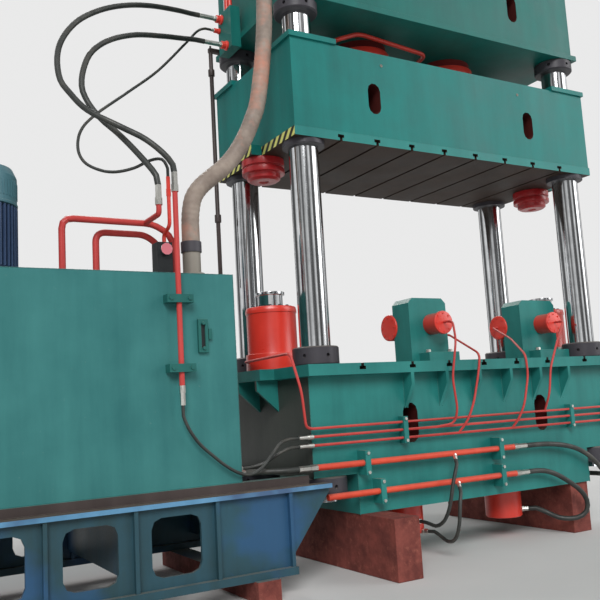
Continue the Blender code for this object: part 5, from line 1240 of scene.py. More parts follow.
@dataclass
class Cylinders:
    """Main cylinders and rams, buffers, strike pads, clamp cylinders and ejectors."""

    trees: Trees
    ram_x: float = 0.60
    # Radii of the ram, its hole, its piston and the main cylinder
    ram: float = 0.20
    ram_hole: float = 0.2005
    piston: float = 0.2295
    bore: float = 0.23
    barrel: float = 0.30
    gland: float = 0.33
    flange: float = 0.335
    # Heights, low and high, in the row frame
    gland_z: Tuple[float, float] = (5.09, 5.19)
    flange_z: Tuple[float, float] = (6.4903, 6.55)
    piston_z: Tuple[float, float] = (6.39, 6.54)
    bore_top_z: float = 6.71
    barrel_top_z: float = 6.83
    shoe: float = 0.29
    shoe_h: float = 0.07
    prefill_z: float = 6.8303
    # Each part of a prefill valve: its radius, and its top above the cylinder
    prefill_flange: Tuple[float, float] = (0.23, 0.05)
    prefill_body: Tuple[float, float] = (0.17, 0.25)
    prefill_cap: Tuple[float, float] = (0.12, 0.30)
    # Radius and height
    joining_pipe: Tuple[float, float] = (0.055, 7.0003)
    strike_x: float = 1.85
    # The buffer and its plunger: radii, and levels above the table
    buffer: float = 0.24
    buffer_foot: Tuple[float, float] = (0.26, 0.155)
    buffer_rim: Tuple[float, float] = (0.2475, 0.54)
    buffer_h: float = 0.60
    buffer_bore: float = 0.1205
    buffer_floor: float = 0.125
    plunger: float = 0.12
    plunger_low: float = 0.26
    plunger_head: Tuple[float, float] = (0.14, 0.72)
    plunger_top: float = 0.75
    # The strike pad under the slide
    pad: float = 0.21
    pad_groove: float = 0.19
    pad_step: float = 0.165
    pad_h: float = 0.21
    # The left and the right clamp block
    block_x: Tuple[float, float] = (-0.30, 1.26)
    block_half: Tuple[float, float] = (0.24, 0.27)
    block_face_y: float = -0.47
    front_x: Tuple[float, float] = (-0.27, 1.29)
    axis_z: float = 2.2206
    side_y: float = -0.1325
    # Distance of an ejector's axis from the middle, and its Y
    ejector: Tuple[float, float] = (0.66, -0.30)
    ejector_rod: float = 0.045
    ejector_low_z: float = 0.25

    def ram_bolts(self, name: str, count: int, sizes: Tuple[float, float, float], z: float,
                  body: str) -> None:
        """Puts a circle of bolts at each ram.

        Args:
            name: the piece's name.
            count: how many to a circle.
            sizes: the circle's radius, the heads' width and their height.
            z: the height of the heads' middle.
            body: the body that they move with.
        """
        circles = [self.trees.circle(count, *sizes, (side * self.ram_x, 0, z), "Z", Coat.NUT)
                   for side in (-1, 1)]
        self.trees.joined(name, circles, Coat.NUT, body, "fitting_steel")

    def mains(self) -> None:
        """Builds the main cylinders, with barrels in a dark red that paints the shade under the crown, red
        gland rings and their bolts, and the rams.
        """
        low, seat = self.gland_z
        under, over = self.flange_z
        foot = SLIDE_TOP_Z + GAP
        sole = foot + self.shoe_h
        shell = [(0, self.bore_top_z), (self.bore, self.bore_top_z), (self.bore, seat), (self.ram_hole, seat),
                 (self.ram_hole, low), (self.gland, low), (self.gland, seat), (self.barrel, seat),
                 (self.barrel, under), (self.flange, under), (self.flange, over), (self.barrel, over),
                 (self.barrel, self.barrel_top_z), (0, self.barrel_top_z)]
        rod = [(0, foot), (self.shoe, foot), (self.shoe, sole), (self.ram, sole),
               (self.ram, self.piston_z[0]), (self.piston, self.piston_z[0]), (self.piston, self.piston_z[1]),
               (0, self.piston_z[1])]
        ring = Zone(Coat.RED, lambda c, n: c.z < seat + 0.0015)
        shoe = Zone(Coat.RED, lambda c, n: c.z < sole + 0.0015)
        for side, word in ((-1, "left"), (1, "right")):
            at = (side * self.ram_x, 0, 0)
            # The barrel's dark red is painted shade; the gland ring keeps the plain red
            Bench.turned("main_cylinder_" + word, Coat.BARREL_SHADE_RED, shell, 0.008, at, sides=96, zones=(ring,))
            Bench.turned("ram_" + word, Coat.ROD, rod, 0.008, at, sides=96, zones=(shoe,))
        self.ram_bolts("gland_bolts", 16, (0.265, 0.036, 0.016), 5.082, "root")
        self.ram_bolts("ram_foot_bolts", 12, (0.245, 0.034, 0.02), 4.92, "slide")

    def prefill(self) -> None:
        """Builds the prefill valves with their bolts and the pipe that joins them."""
        base = self.prefill_z
        radius, height = self.joining_pipe
        flange, flange_h = self.prefill_flange
        wall, wall_h = self.prefill_body
        cap, cap_h = self.prefill_cap
        body = [(0, base), (flange, base), (flange, base + flange_h), (wall, base + flange_h),
                (wall, base + wall_h), (cap, base + cap_h), (0, base + cap_h)]
        bm = bmesh.new()
        for side in (-1, 1):
            turn(bm, eased(body, 0.006), (side * self.ram_x, 0, 0))
        ends = [Vector((side * self.ram_x, 0, height)) for side in (-1, 1)]
        sweep(bm, ends, lambda run: radius, 36)
        pipe = Zone(Coat.RED, inside((-0.43, -0.06, 6.94), (0.43, 0.06, 7.06)))
        Bench.dress("prefill_valves", bm, Coat.ZINC, (pipe,))
        self.ram_bolts("prefill_bolts", 12, (0.20, 0.032, 0.02), base + 0.06, "root")

    def buffers(self) -> None:
        """Builds the buffer cylinders with their plungers, and the strike pads above them."""
        floor, top = TABLE_Z + GAP, SLIDE_LOW_Z - GAP
        foot, foot_h = self.buffer_foot
        rim, rim_z = self.buffer_rim
        head, head_z = self.plunger_head
        barrel = [(0, 0), (foot, 0), (foot, foot_h), (self.buffer, foot_h), (self.buffer, rim_z),
                  (rim, rim_z), (rim, rim_z + 0.03), (self.buffer, self.buffer_h),
                  (self.buffer_bore, self.buffer_h), (self.buffer_bore, self.buffer_floor),
                  (0, self.buffer_floor)]
        plunger = [(0, self.plunger_low), (self.plunger, self.plunger_low), (self.plunger, head_z),
                   (head, head_z), (head, self.plunger_top), (0, self.plunger_top)]
        low = top - self.pad_h
        pad = [(0, top), (self.pad, top), (self.pad, top - 0.07), (self.pad_groove, top - 0.07),
               (self.pad_groove, top - 0.09), (self.pad, top - 0.09), (self.pad, top - 0.14),
               (self.pad_step, top - 0.14), (self.pad_step, top - 0.19), (0.135, low), (0.05, low),
               (0.045, top - 0.20), (0, top - 0.20)]
        bolts = []
        for side, word in ((-1, "left"), (1, "right")):
            x = side * self.strike_x
            Bench.turned("buffer_cylinder_" + word, Coat.RED, barrel, 0.006, (x, 0, floor), sides=96)
            Bench.turned("buffer_plunger_" + word, Coat.ROD, plunger, 0.004, (x, 0, floor))
            bolts.append(self.trees.circle(12, 0.185, 0.030, 0.018, (x, 0, floor + 0.608), "Z", Coat.NUT))
            Bench.turned("strike_pad_" + word, Coat.PAD_RED, pad, 0.005, (x, 0, 0), sides=96)
        self.trees.joined("buffer_bolts", bolts, Coat.NUT, "root", "fitting_steel")

    def clamps(self) -> None:
        """Builds the front and side cylinders of the clamp blocks."""
        caps = []
        face = self.block_face_y - GAP
        tip = face - 0.20
        front = [(0, face), (0.105, face), (0.105, tip + 0.035), (0.115, tip + 0.035), (0.115, tip), (0, tip)]
        across = (0, self.side_y, self.axis_z)
        for x, half, front_x, word in zip(self.block_x, self.block_half, self.front_x, ("left", "right")):
            Bench.turned("front_cylinder_" + word, Coat.RED, front, 0.004, (front_x, 0, self.axis_z), "Y")
            middle = (front_x, tip - 0.003, self.axis_z)
            caps.append(self.trees.circle(8, 0.092, 0.016, 0.008, middle, "Y", Coat.RED))
            start = x - half - 0.015
            end = start + 0.36
            barrel = [(0, start), (0.135, start), (0.135, end), (0.0605, end), (0.0605, end - 0.24),
                      (0, end - 0.24)]
            Bench.turned("side_cylinder_" + word, Coat.RED, barrel, 0.010, across, "X")
            middle = (start - 0.003, self.side_y, self.axis_z)
            caps.append(self.trees.circle(8, 0.108, 0.018, 0.008, middle, "X", Coat.RED))
            rod = [(0, end - 0.22), (0.06, end - 0.22), (0.06, end + 0.03), (0, end + 0.03)]
            Bench.turned("side_rod_" + word, Coat.ROD, rod, 0.005, across, "X")
        self.trees.joined("clamp_cap_bolts", caps, Coat.RED, "root", "cylinder_red")

    def ejectors(self) -> None:
        """Builds the ejectors under the base."""
        low, high = self.ejector_low_z, TABLE_Z - 0.01
        rod = [(0, low), (self.ejector_rod, low), (self.ejector_rod, high), (0, high)]
        for side, word in ((-1, "left"), (1, "right")):
            x, y = side * self.ejector[0], self.ejector[1]
            nuts = Zone(Coat.ZINC, lambda c, n, x=x: math.hypot(c.x - x, c.y - y) > 0.1915)
            Bench.skin("ejector_cylinder_" + word, Coat.RED, (nuts,), 0.003, 50)
            Bench.turned("ejector_rod_" + word, Coat.ROD, rod, 0.004, (x, y, 0), sides=40)

    def build(self) -> None:
        """Builds all of them."""
        self.mains()
        self.prefill()
        self.buffers()
        self.clamps()
        self.ejectors()


@dataclass
class Pipework:
    """Steel pipes with their clamps, blocks and fittings."""

    riser: float = 0.046
    short_pipe: float = 0.055
    bend: float = 0.09
    # Clamps of the thin pipes, the left ends of the base's pipes, and clamps of the tank's front pipe
    clamp_x: Tuple[float, float] = (-0.97, 1.23)
    left_x: float = -1.9552
    bar_z: Tuple[float, float] = (1.83, 2.3773)
    manifold: Tuple[Point, Point] = ((-2.0356, 0.189, 5.169), (-1.92, 0.491, 5.6105))
    # Each adaptor of the manifold: its Y, its height and its radius
    ports: Tuple[Point, ...] = ((0.40, 5.54, 0.040), (0.30, 5.21, 0.040), (0.46, 5.44, 0.025))
    rod_sleeve: float = 0.044
    rod_collar: float = 0.068
    rod_at: Point = (-2.06, 0.66, 0)
    gland_route: Tuple[Point, ...] = (
        (-0.9303, 0.0, 5.14), (-1.19, 0.0, 5.14), (-1.19, -0.45, 5.10), (-0.90, -0.45, 5.225),
        (-0.03, -0.45, 5.15), (0.06, 0.0, 5.14), (0.2697, 0.0, 5.14))
    short_route: Tuple[Point, ...] = (
        (-3.66, -0.42, 2.5976), (-3.66, -0.42, 2.985), (-3.24, -0.42, 2.985), (-3.12, -0.42, 2.90),
        (-3.12, -0.42, 2.5976))

    def base_pipes(self) -> None:
        """Builds the looks of the pipes along the base front."""
        left, right = self.clamp_x
        thin = (Zone(Coat.ZINC, lambda c, n: c.x < self.left_x and c.z < 1.24 and c.y > -0.86),
                Zone(Coat.ZINC, lambda c, n: c.y < -0.8518 and 1.05 < c.z < 1.35 and
                     (abs(c.x - left) < 0.026 or abs(c.x - right) < 0.026)),
                Zone(Coat.TABLE_GREEN, lambda c, n: 1.09 < c.z < 1.335 and
                     (abs(c.x - left) < 0.027 or abs(c.x - right) < 0.027 or c.x > 1.7995)))
        Bench.skin("base_pipework", Coat.PIPE, thin, 0.0015, 62)
        for word, clamps in (("upper", (-1.446, 0.14)), ("lower", (-1.30, 0.14))):
            zones = (Zone(Coat.ZINC, lambda c, n: c.x < self.left_x or c.x > 0.3303),
                     Zone(Coat.ZINC, lambda c, n: -0.52 < c.x < -0.43 and c.y < -0.8895),
                     Zone(Coat.ZINC, lambda c, n: c.y < -0.9008 and c.x > -1.6 and abs(c.x + 0.47) > 0.06),
                     Zone(Coat.TABLE_GREEN, lambda c, n, at=clamps: min(abs(c.x - x) for x in at) < 0.0285))
            Bench.skin("thick_pipe_" + word, Coat.ORANGE, zones, 0.002, 50)

    def crown_pipes(self) -> None:
        """Builds the manifold's looks with its adaptors, and the pipe between the gland rings."""
        near = self.manifold[0][0] - 0.0002
        # The manifold block is painted in the crown's dark green as painted shade behind the fittings
        zones = (Zone(Coat.ZINC, lambda c, n: c.x < near), Zone(Coat.DIM_GREEN, inside(*self.manifold)))
        Bench.skin("crown_manifold", Coat.RED, zones, 0.003, 50)
        bm = bmesh.new()
        for y, z, r in self.ports:
            turn(bm, eased([(0, near), (r * 1.25, near), (r * 1.25, near - 0.018), (r, near - 0.022),
                            (r, near - 0.065), (0, near - 0.065)], 0.003), (0, y, z), "X", 32)
        Bench.from_bm("manifold_adaptors", bm, Coat.RED, "root", slot="cylinder_red")
        bm = bmesh.new()
        sweep(bm, bent_route(self.gland_route, self.bend), lambda run: self.riser / 2)
        Bench.dress("under_crown_pipe", bm, Coat.RED)

    def tank_pipes(self) -> None:
        """Builds the looks of the pipes on the tank and down its front."""
        Bench.skin("tank_pipe_long", Coat.PIPE, (Zone(Coat.ZINC, lambda c, n: c.z > 3.1303),), 0.002, 50)
        bm = bmesh.new()
        sweep(bm, bent_route(self.short_route, self.bend), lambda run: self.short_pipe / 2)
        Bench.dress("tank_pipe_short", bm, Coat.PIPE)
        ends = Zone(Coat.ZINC, lambda c, n: c.z > 3.2503 or c.z < 1.6897)
        low, high = self.bar_z
        bars = Zone(Coat.CLIP, lambda c, n: c.y < -0.8203 and min(abs(c.z - low), abs(c.z - high)) < 0.0345)
        Bench.skin("tank_front_pipe", Coat.PIPE, (ends, bars), 0.002, 50)

    def valve(self) -> None:
        """Builds the valve block's looks, with its round eye and bright screws."""
        eye = (Zone(Coat.PINK, lambda c, n: n.y < -0.9 and c.y < -0.709
                    and math.hypot(c.x + 3.16, c.z - 2.8126) < 0.04),
               Zone(Coat.CHROME, lambda c, n: c.y < -0.6655 and c.z < 2.88),
               Zone(Coat.RED, lambda c, n: c.z > 2.8781))
        Bench.skin("valve_block", Coat.BLACK, eye, 0.003, 50)

    def stroke_rod(self) -> None:
        """Builds the stroke rod and its sleeve with two collars."""
        Bench.skin("stroke_rod", Coat.RAIL, bevel=0.001, angle=50)
        bm = bmesh.new()
        wide, collar = self.rod_sleeve / 2, self.rod_collar / 2
        profile = [(0, 2.752), (wide, 2.752), (wide, 3.42), (collar, 3.42), (collar, 3.50), (wide, 3.50),
                   (wide, 5.02), (collar, 5.02), (collar, 5.09), (wide, 5.09), (wide, 5.31), (0, 5.31)]
        turn(bm, eased(profile, 0.003), self.rod_at, sides=32)
        Bench.from_bm("stroke_rod_sleeve", bm, Coat.RAIL, "root", slot="fitting_steel")

    def build(self) -> None:
        """Builds all of them."""
        self.base_pipes()
        self.crown_pipes()
        self.tank_pipes()
        self.valve()
        self.stroke_rod()


@dataclass
class PowerUnit:
    """Frame, rails, tank, level gauge, pump motor and suction hose."""

    trees: Trees
    left: float = -5.45
    tank_right: float = -2.63
    tank_half_w: float = 0.82
    seam: float = 0.0045
    seam_inset: float = 0.003
    # The tank's left side is the edge of the whole machine, so its seams lie deeper there
    left_inset: float = 0.0075
    rail_y: float = 0.8365
    rail_foot_z: float = 0.8330
    rail_right_x: float = -2.03
    gauge_x: float = -2.93
    gauge_caps_z: Tuple[float, float] = (2.185, 1.985)
    gauge_face_y: float = -0.8503
    motor_x: float = -4.49
    motor_radius: float = 0.268
    motor_h: float = 0.63
    cover_radius: float = 0.294
    cover_h: float = 0.33
    cover_rings: Tuple[float, ...] = (0.21, 0.19, 0.17, 0.15, 0.13, 0.11, 0.09)
    suction_radius: float = 0.0745
    rib: float = 0.0013
    rib_pitch: float = 0.048
    suction_route: Tuple[Point, ...] = (
        (-2.91, -0.62, 2.8976), (-2.91, -0.62, 3.05), (-2.90, -0.62, 3.17), (-2.87, -0.62, 3.29),
        (-2.80, -0.62, 3.39), (-2.70, -0.62, 3.48), (-2.58, -0.62, 3.58), (-2.47, -0.62, 3.70),
        (-2.36, -0.62, 3.87), (-2.27, -0.62, 4.06), (-2.20, -0.62, 4.26), (-2.12, -0.62, 4.74),
        (-2.08, -0.62, 5.25), (-2.08, -0.61, 5.75), (-2.08, -0.59, 6.20), (-2.07, -0.56, 6.60),
        (-1.98, -0.48, 6.92), (-1.78, -0.35, 7.09), (-1.50, -0.18, 7.12), (-1.20, -0.04, 7.06),
        (-0.9223, 0.0, 7.0003), (-0.7703, 0.0, 7.0003))

    def tank(self) -> None:
        """Builds the tank's looks and its weld seams."""
        zones = (Zone(Coat.RAIL, lambda c, n: c.z < TANK_LOW_Z + 0.0005),
                 Zone(Coat.ZINC, lambda c, n: c.x > self.tank_right + 0.0005),
                 Zone(Coat.NUT, lambda c, n: c.z > TANK_TOP_Z + 0.208),
                 Zone(Coat.GREY, lambda c, n: c.z > TANK_TOP_Z + 0.0005))
        Bench.skin("oil_tank", Coat.TANK, zones, 0.005, 50)
        inset = self.seam_inset
        left, right = self.left + self.left_inset, self.tank_right - inset
        front, back = -self.tank_half_w + inset, self.tank_half_w - inset
        corners = [(left, front), (right, front), (right, back), (left, back)]
        lines: List[Tuple[Point, Point]] = []
        for a, b in zip(corners, [*corners[1:], corners[0]]):
            lines += [((*a, TANK_TOP_Z - inset), (*b, TANK_TOP_Z - inset))]
        lines += [((x, y, TANK_LOW_Z + 0.004), (x, y, TANK_TOP_Z - 0.004)) for x, y in corners]
        self.trees.seams("tank_seams", lines, Coat.TANK, "root", "tank_green", self.seam)

    def rails(self) -> None:
        """Builds the windowed frame's looks and the seams under the rails."""
        z = self.rail_foot_z
        feet = [((self.left + 0.02, y, z), (self.rail_right_x, y, z)) for y in (-self.rail_y, self.rail_y)]
        self.trees.seams("rail_seams", feet, Coat.RAIL, "root", "frame_blue", 0.005)
        frame_zones = (Zone(Coat.RUST, lambda c, n: c.z < 0.1552),
                       Zone(Coat.EDGE, lambda c, n: abs(n.y) > 0.9 and abs(c.y) > 0.985 and c.z > 0.78),
                       Zone(Coat.RAIL, lambda c, n: n.z > 0.9 and c.z > 0.825))
        Bench.skin("power_frame", Coat.WEB, frame_zones, 0.003, 50)

    def gauge(self) -> None:
        """Builds the level gauge's looks, with its dark slot, two caps and a catch."""
        x, near = self.gauge_x, self.gauge_face_y
        middle = sum(self.gauge_caps_z) / 2
        slot = Zone(Coat.BLACK, lambda c, n: c.y > -0.8455 and abs(c.x - x) < 0.016
                    and abs(c.z - middle) < 0.096)
        Bench.skin("level_gauge", Coat.CLIP, (slot,), 0.003)
        cap = [(0, near), (0.014, near), (0.014, -0.862), (0.012, -0.866), (0, -0.866)]
        bm = bmesh.new()
        for z in self.gauge_caps_z:
            turn(bm, eased(cap, 0.002), (x, 0, z), "Y", 24)
        catch = bmesh.ops.create_cube(bm, size=1.0)["verts"]
        bmesh.ops.scale(bm, vec=(0.028, 0.026, 0.085), verts=catch)
        bmesh.ops.translate(bm, vec=(-2.868, -0.8335, 2.10), verts=catch)
        Bench.from_bm("level_gauge_caps", bm, Coat.CLIP, "root", slot="gauge")

    def motor(self) -> None:
        """Builds the finned motor, its flange and the slotted fan cover."""
        base = TANK_TOP_Z + GAP
        top = base + self.motor_h
        x = self.motor_x
        shell = [(0, base), (0.28, base), (0.28, base + 0.035), (0.25, base + 0.05), (0.25, base + 0.10),
                 (self.motor_radius, base + 0.105), (self.motor_radius, top), (0, top)]
        Bench.turned("pump_motor", Coat.NAVY, shell, 0.005, (x, 0, 0), sides=96)
        sizes = {"Count": 44, "Radius": 0.282, "Bar": (0.034, 0.007, 0.50)}
        fins = self.trees.fins.mesh(sizes, Coat.NAVY, Matrix.Translation((x, 0, base + 0.37)))
        self.trees.joined("motor_fins", [fins], Coat.NAVY, "root", "motor_navy")
        bolts = self.trees.circle(8, 0.265, 0.026, 0.02, (x, 0, base + 0.042), "Z", Coat.NUT)
        self.trees.joined("motor_bolts", [bolts], Coat.NUT, "root", "fitting_steel")
        low = top + GAP
        rim = [(0, low), (0.30, low), (0.30, low + 0.02), (self.cover_radius, low + 0.025),
               (self.cover_radius, low + 0.24), (0.26, low + 0.315), (0.23, low + 0.326)]
        rings = [(r, low + self.cover_h - 0.012 * (k % 2)) for k, r in enumerate(self.cover_rings)]
        profile = [*rim, *rings, (0, low + self.cover_h)]
        Bench.turned("motor_fan_cover", Coat.TEAL, profile, 0.004, (x, 0, 0), sides=96)
        sizes = {"Count": 60, "Radius": 0.2945, "Bar": (0.007, 0.010, 0.13)}
        slats = self.trees.fins.mesh(sizes, Coat.TEAL, Matrix.Translation((x, 0, low + 0.13)))
        self.trees.joined("motor_cover_slats", [slats], Coat.TEAL, "root", "motor_teal")

    def suction(self) -> None:
        """Builds the large suction hose, with a low rib wound round it."""
        bm = bmesh.new()
        line = smooth_route(self.suction_route, 0.012)
        sweep(bm, line, lambda run: self.suction_radius
              + self.rib * math.cos(2 * math.pi * run / self.rib_pitch), 40)
        Bench.dress("suction_hose", bm, Coat.SUCTION, sharp=60)

    def build(self) -> None:
        """Builds all of them."""
        self.tank()
        self.rails()
        self.gauge()
        self.motor()
        self.suction()


@dataclass(frozen=True)
class Hose:
    """One free hose: its route about the press centre line and its diameter."""

    node: str
    diameter: float
    route: Tuple[Point, ...]

    def build(self) -> None:
        line = [p + Vector((PRESS_X, 0, 0)) for p in smooth_route(self.route, 1.2 * self.diameter)]
        curve = bpy.data.curves.new(self.node + "_dressed", "CURVE")
        curve.dimensions = "3D"
        spline = curve.splines.new("POLY")
        spline.points.add(len(line) - 1)
        spline.points.foreach_set("co", [v for p in line for v in (*p, 1.0)])
        spline.use_smooth = True
        curve.bevel_depth = self.diameter / 2
        curve.bevel_resolution = 6
        curve.use_fill_caps = True
        curve.materials.append(Coat.HOSE.made())
        obj = placed(self.node + "_dressed", curve)
        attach(obj, "root")
        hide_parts(self.node)


HOSES = (
    Hose("hose_loop_outer", 0.050, (
        (-2.29, 0.40, 5.54), (-2.39, 0.40, 5.54), (-2.56, 0.34, 5.51), (-2.87, 0.22, 5.43),
        (-3.16, 0.11, 5.32), (-3.43, 0.01, 5.17), (-3.67, -0.09, 4.97), (-3.83, -0.17, 4.74),
        (-3.90, -0.25, 4.52), (-3.90, -0.33, 4.29), (-3.84, -0.42, 4.14), (-3.77, -0.51, 4.01),
        (-3.69, -0.59, 3.92), (-3.59, -0.66, 3.85), (-3.48, -0.72, 3.78), (-3.37, -0.78, 3.71),
        (-3.28, -0.83, 3.63), (-3.20, -0.87, 3.54), (-3.15, -0.88, 3.47), (-3.14, -0.88, 3.41))),
    Hose("hose_loop_inner", 0.050, (
        (-2.29, 0.30, 5.21), (-2.39, 0.30, 5.21), (-2.56, 0.25, 5.17), (-2.80, 0.15, 5.10),
        (-3.13, 0.00, 4.98), (-3.41, -0.12, 4.82), (-3.60, -0.22, 4.63), (-3.69, -0.28, 4.43),
        (-3.72, -0.33, 4.25), (-3.69, -0.37, 4.12), (-3.64, -0.42, 4.01), (-3.58, -0.48, 3.91),
        (-3.51, -0.56, 3.81), (-3.44, -0.65, 3.69), (-3.38, -0.74, 3.57), (-3.33, -0.82, 3.46),
        (-3.29, -0.87, 3.37), (-3.28, -0.88, 3.29))),
    Hose("hose_loop_slim", 0.026, (
        (-2.14, 0.46, 5.44), (-2.20, 0.46, 5.44), (-2.31, 0.42, 5.37), (-2.48, 0.34, 5.17),
        (-2.84, 0.20, 4.76), (-3.21, 0.06, 4.42), (-3.54, -0.08, 4.12), (-3.69, -0.16, 3.93),
        (-3.74, -0.24, 3.74), (-3.71, -0.32, 3.60), (-3.61, -0.40, 3.52), (-3.50, -0.48, 3.49),
        (-3.37, -0.57, 3.51), (-3.26, -0.66, 3.56), (-3.18, -0.72, 3.56), (-3.14, -0.74, 3.48),
        (-3.14, -0.74, 3.41))),
    Hose("hose_tank_front", 0.026, (
        (-3.14, -0.88, 1.54), (-3.14, -0.88, 1.46), (-3.09, -0.885, 1.34), (-3.01, -0.885, 1.23),
        (-2.90, -0.885, 1.13), (-2.80, -0.88, 1.05), (-2.69, -0.875, 0.985), (-2.58, -0.865, 0.96),
        (-2.47, -0.85, 1.00), (-2.36, -0.84, 1.10), (-2.27, -0.83, 1.185), (-2.17, -0.825, 1.213),
        (-2.09, -0.825, 1.213))),
    Hose("hose_tank_side", 0.026, (
        (-2.09, -0.825, 1.14), (-2.17, -0.825, 1.14), (-2.27, -0.80, 1.10), (-2.38, -0.74, 1.03),
        (-2.50, -0.70, 1.00), (-2.57, -0.70, 1.00))),
    Hose("hose_thick_left", 0.050, (
        (-2.13, -0.862, 0.957), (-2.21, -0.862, 0.957), (-2.35, -0.80, 0.96), (-2.50, -0.735, 0.965),
        (-2.565, -0.735, 0.965))),
    Hose("hose_right_upper", 0.050, (
        (0.50, -0.862, 0.957), (0.60, -0.862, 0.957), (0.80, -0.865, 0.95), (1.01, -0.865, 0.925),
        (1.21, -0.87, 0.875), (1.38, -0.875, 0.79), (1.51, -0.87, 0.69), (1.62, -0.84, 0.605),
        (1.71, -0.76, 0.565), (1.75, -0.65, 0.56), (1.735, -0.565, 0.56), (1.69, -0.50, 0.56),
        (1.61, -0.45, 0.56), (1.545, -0.45, 0.56))),
    Hose("hose_right_lower", 0.050, (
        (0.50, -0.862, 0.70), (0.60, -0.862, 0.70), (0.74, -0.865, 0.685), (0.89, -0.87, 0.635),
        (1.06, -0.88, 0.54), (1.20, -0.885, 0.44), (1.28, -0.88, 0.33), (1.27, -0.86, 0.22),
        (1.18, -0.80, 0.165), (1.07, -0.69, 0.17), (0.99, -0.59, 0.225), (0.928, -0.501, 0.27),
        (0.864, -0.453, 0.27))),
    Hose("hose_ejector_upper", 0.034, (
        (-0.47, -0.912, 0.90), (-0.4884, -0.9427, 0.865), (-0.54, -0.97, 0.79), (-0.585, -0.98, 0.69),
        (-0.61, -0.97, 0.57), (-0.625, -0.94, 0.46), (-0.64, -0.88, 0.36), (-0.655, -0.79, 0.31),
        (-0.66, -0.70, 0.32), (-0.66, -0.62, 0.33), (-0.66, -0.56, 0.33))),
    Hose("hose_ejector_lower", 0.034, (
        (-0.45, -0.912, 0.645), (-0.4687, -0.9432, 0.6107), (-0.505, -0.97, 0.54), (-0.53, -0.98, 0.44),
        (-0.54, -0.97, 0.33), (-0.54, -0.93, 0.23), (-0.525, -0.85, 0.165), (-0.51, -0.75, 0.15),
        (-0.505, -0.67, 0.175), (-0.5177, -0.5784, 0.22), (-0.545, -0.525, 0.22))),
)


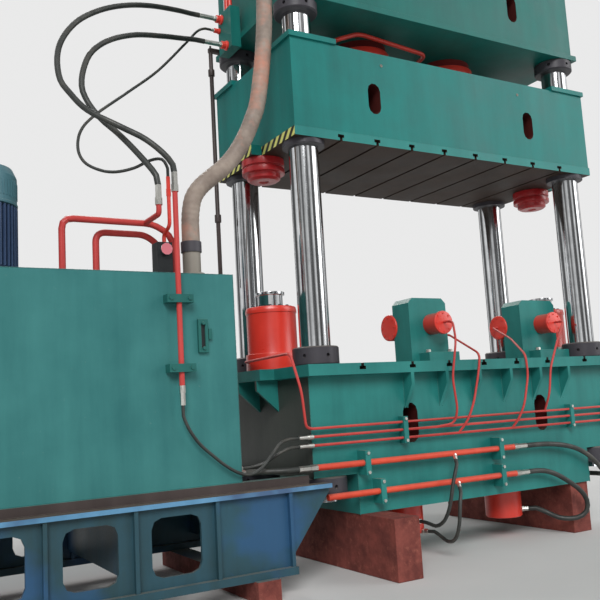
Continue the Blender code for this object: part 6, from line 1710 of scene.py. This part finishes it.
@dataclass
class Studio:
    """Camera at the photograph's angle, soft lamps, pale floor and world."""

    eye: Point = (-3.80, -6.68, 1.50)
    lens: float = 47.34
    softness: float = 0.5
    ambient: float = 0.32
    backdrop: float = 0.82
    floor_half: float = 120.0
    # Each lamp's name, the way that its light comes from and its strength
    lamps: Tuple[Tuple[str, Point, float], ...] = (
        ("key", (-5.0, -9.0, 7.0), 2.1), ("fill", (8.0, -6.0, 3.5), 0.55), ("rear", (1.0, 8.0, 8.0), 0.8))
    # What mirrors see: the noise scale of the bays, the span where they turn light, and both strengths
    bay_scale: float = 1.9
    bay_edge: Tuple[float, float] = (0.40, 0.58)
    bay_light: Tuple[float, float] = (0.10, 1.0)
    across: Point = (0.864, -0.5002, -0.0576)
    up: Point = (-0.0159, -0.1415, 0.9898)
    back: Point = (-0.5033, -0.8542, -0.1303)

    def camera(self) -> None:
        """Makes the camera."""
        data = bpy.data.cameras.new("camera")
        data.lens = self.lens
        data.sensor_width = 36.0
        data.clip_start = 0.05
        data.clip_end = 300.0
        cam = placed("camera", data)
        turned = Matrix((self.across, self.up, self.back)).transposed().to_4x4()
        cam.matrix_world = Matrix.Translation(self.eye) @ turned
        bpy.context.scene.camera = cam

    def lamp(self, name: str, at: Point, power: float) -> None:
        """Makes one soft far lamp that faces the machine.

        Args:
            name: the lamp's name.
            at: the way that its light comes from.
            power: its strength.
        """
        data = bpy.data.lights.new(name, "SUN")
        data.angle = self.softness
        data.energy = power
        obj = placed(name, data)
        obj.location = at
        obj.rotation_euler = (-Vector(at)).to_track_quat("-Z", "Y").to_euler()

    def world(self) -> None:
        """Makes a soft world: near white to the camera, and light and dark bays to mirrors, as in a hall."""
        world = bpy.data.worlds.new("studio")
        world.use_nodes = True
        bpy.context.scene.world = world
        tree = world.node_tree
        path = tree.nodes.new("ShaderNodeLightPath")
        seen = tree.nodes.new("ShaderNodeMath")
        seen.operation = "MAXIMUM"
        tree.links.new(path.outputs["Is Camera Ray"], seen.inputs[0])
        tree.links.new(path.outputs["Is Transmission Ray"], seen.inputs[1])
        level = tree.nodes.new("ShaderNodeMapRange")
        tree.links.new(seen.outputs[0], level.inputs["Value"])
        level.inputs["To Min"].default_value = self.ambient
        level.inputs["To Max"].default_value = self.backdrop
        tall = tree.nodes.new("ShaderNodeMapping")
        tree.links.new(tree.nodes.new("ShaderNodeTexCoord").outputs["Generated"], tall.inputs["Vector"])
        tall.inputs["Scale"].default_value = (1.0, 1.0, 0.12)
        bays = tree.nodes.new("ShaderNodeTexNoise")
        tree.links.new(tall.outputs["Vector"], bays.inputs["Vector"])
        bays.inputs["Scale"].default_value = self.bay_scale
        bays.inputs["Detail"].default_value = 2.0
        glare = tree.nodes.new("ShaderNodeMapRange")
        tree.links.new(bays.outputs["Fac"], glare.inputs["Value"])
        names = ("From Min", "From Max", "To Min", "To Max")
        for name, number in zip(names, (*self.bay_edge, *self.bay_light)):
            glare.inputs[name].default_value = number
        choice = tree.nodes.new("ShaderNodeMix")
        choice.data_type = "FLOAT"
        tree.links.new(path.outputs["Is Glossy Ray"], choice.inputs[0])
        tree.links.new(level.outputs["Result"], choice.inputs[2])
        tree.links.new(glare.outputs["Result"], choice.inputs[3])
        back = tree.nodes["Background"]
        back.inputs["Color"].default_value = (1.0, 1.0, 1.0, 1.0)
        tree.links.new(choice.outputs[0], back.inputs["Strength"])

    def floor(self) -> None:
        """Makes the pale floor."""
        mesh = bpy.data.meshes.new("floor")
        far, under = self.floor_half, -0.001
        mesh.from_pydata([(-far, -far, under), (far, -far, under), (far, far, under), (-far, far, under)], [],
                         [(0, 1, 2, 3)])
        obj = placed("floor", mesh)
        g = Graph("floor_pale")
        g.set(Base_Color=g.mix(g.span(g.noise(0.4), 0.3, 0.7), (0.60, 0.60, 0.59, 1), (0.66, 0.66, 0.65, 1)),
              Roughness=g.span(g.noise(0.8), 0.3, 0.7, 0.75, 0.9))
        mesh.materials.append(g.material)

    def build(self) -> None:
        """Builds all of it."""
        self.camera()
        for name, at, power in self.lamps:
            self.lamp(name, at, power)
        self.world()
        self.floor()
        bpy.context.scene.view_settings.view_transform = "Standard"


def main() -> None:
    """Builds the scene's classes in order."""
    logging.basicConfig(level=logging.INFO, format="%(name)s %(message)s")
    Studio().build()
    for hose in HOSES:
        hose.build()
    trees = Trees()
    Columns(trees).build()
    Weldments(trees).build()
    Cylinders(trees).build()
    Pipework().build()
    PowerUnit(trees).build()
    left = sorted(n for n, o in frame["nodes"].items() if not o.hide_render)
    LOG.info("CAD nodes without a dressed piece: %s", left)


if __name__ == "__main__":
    main()
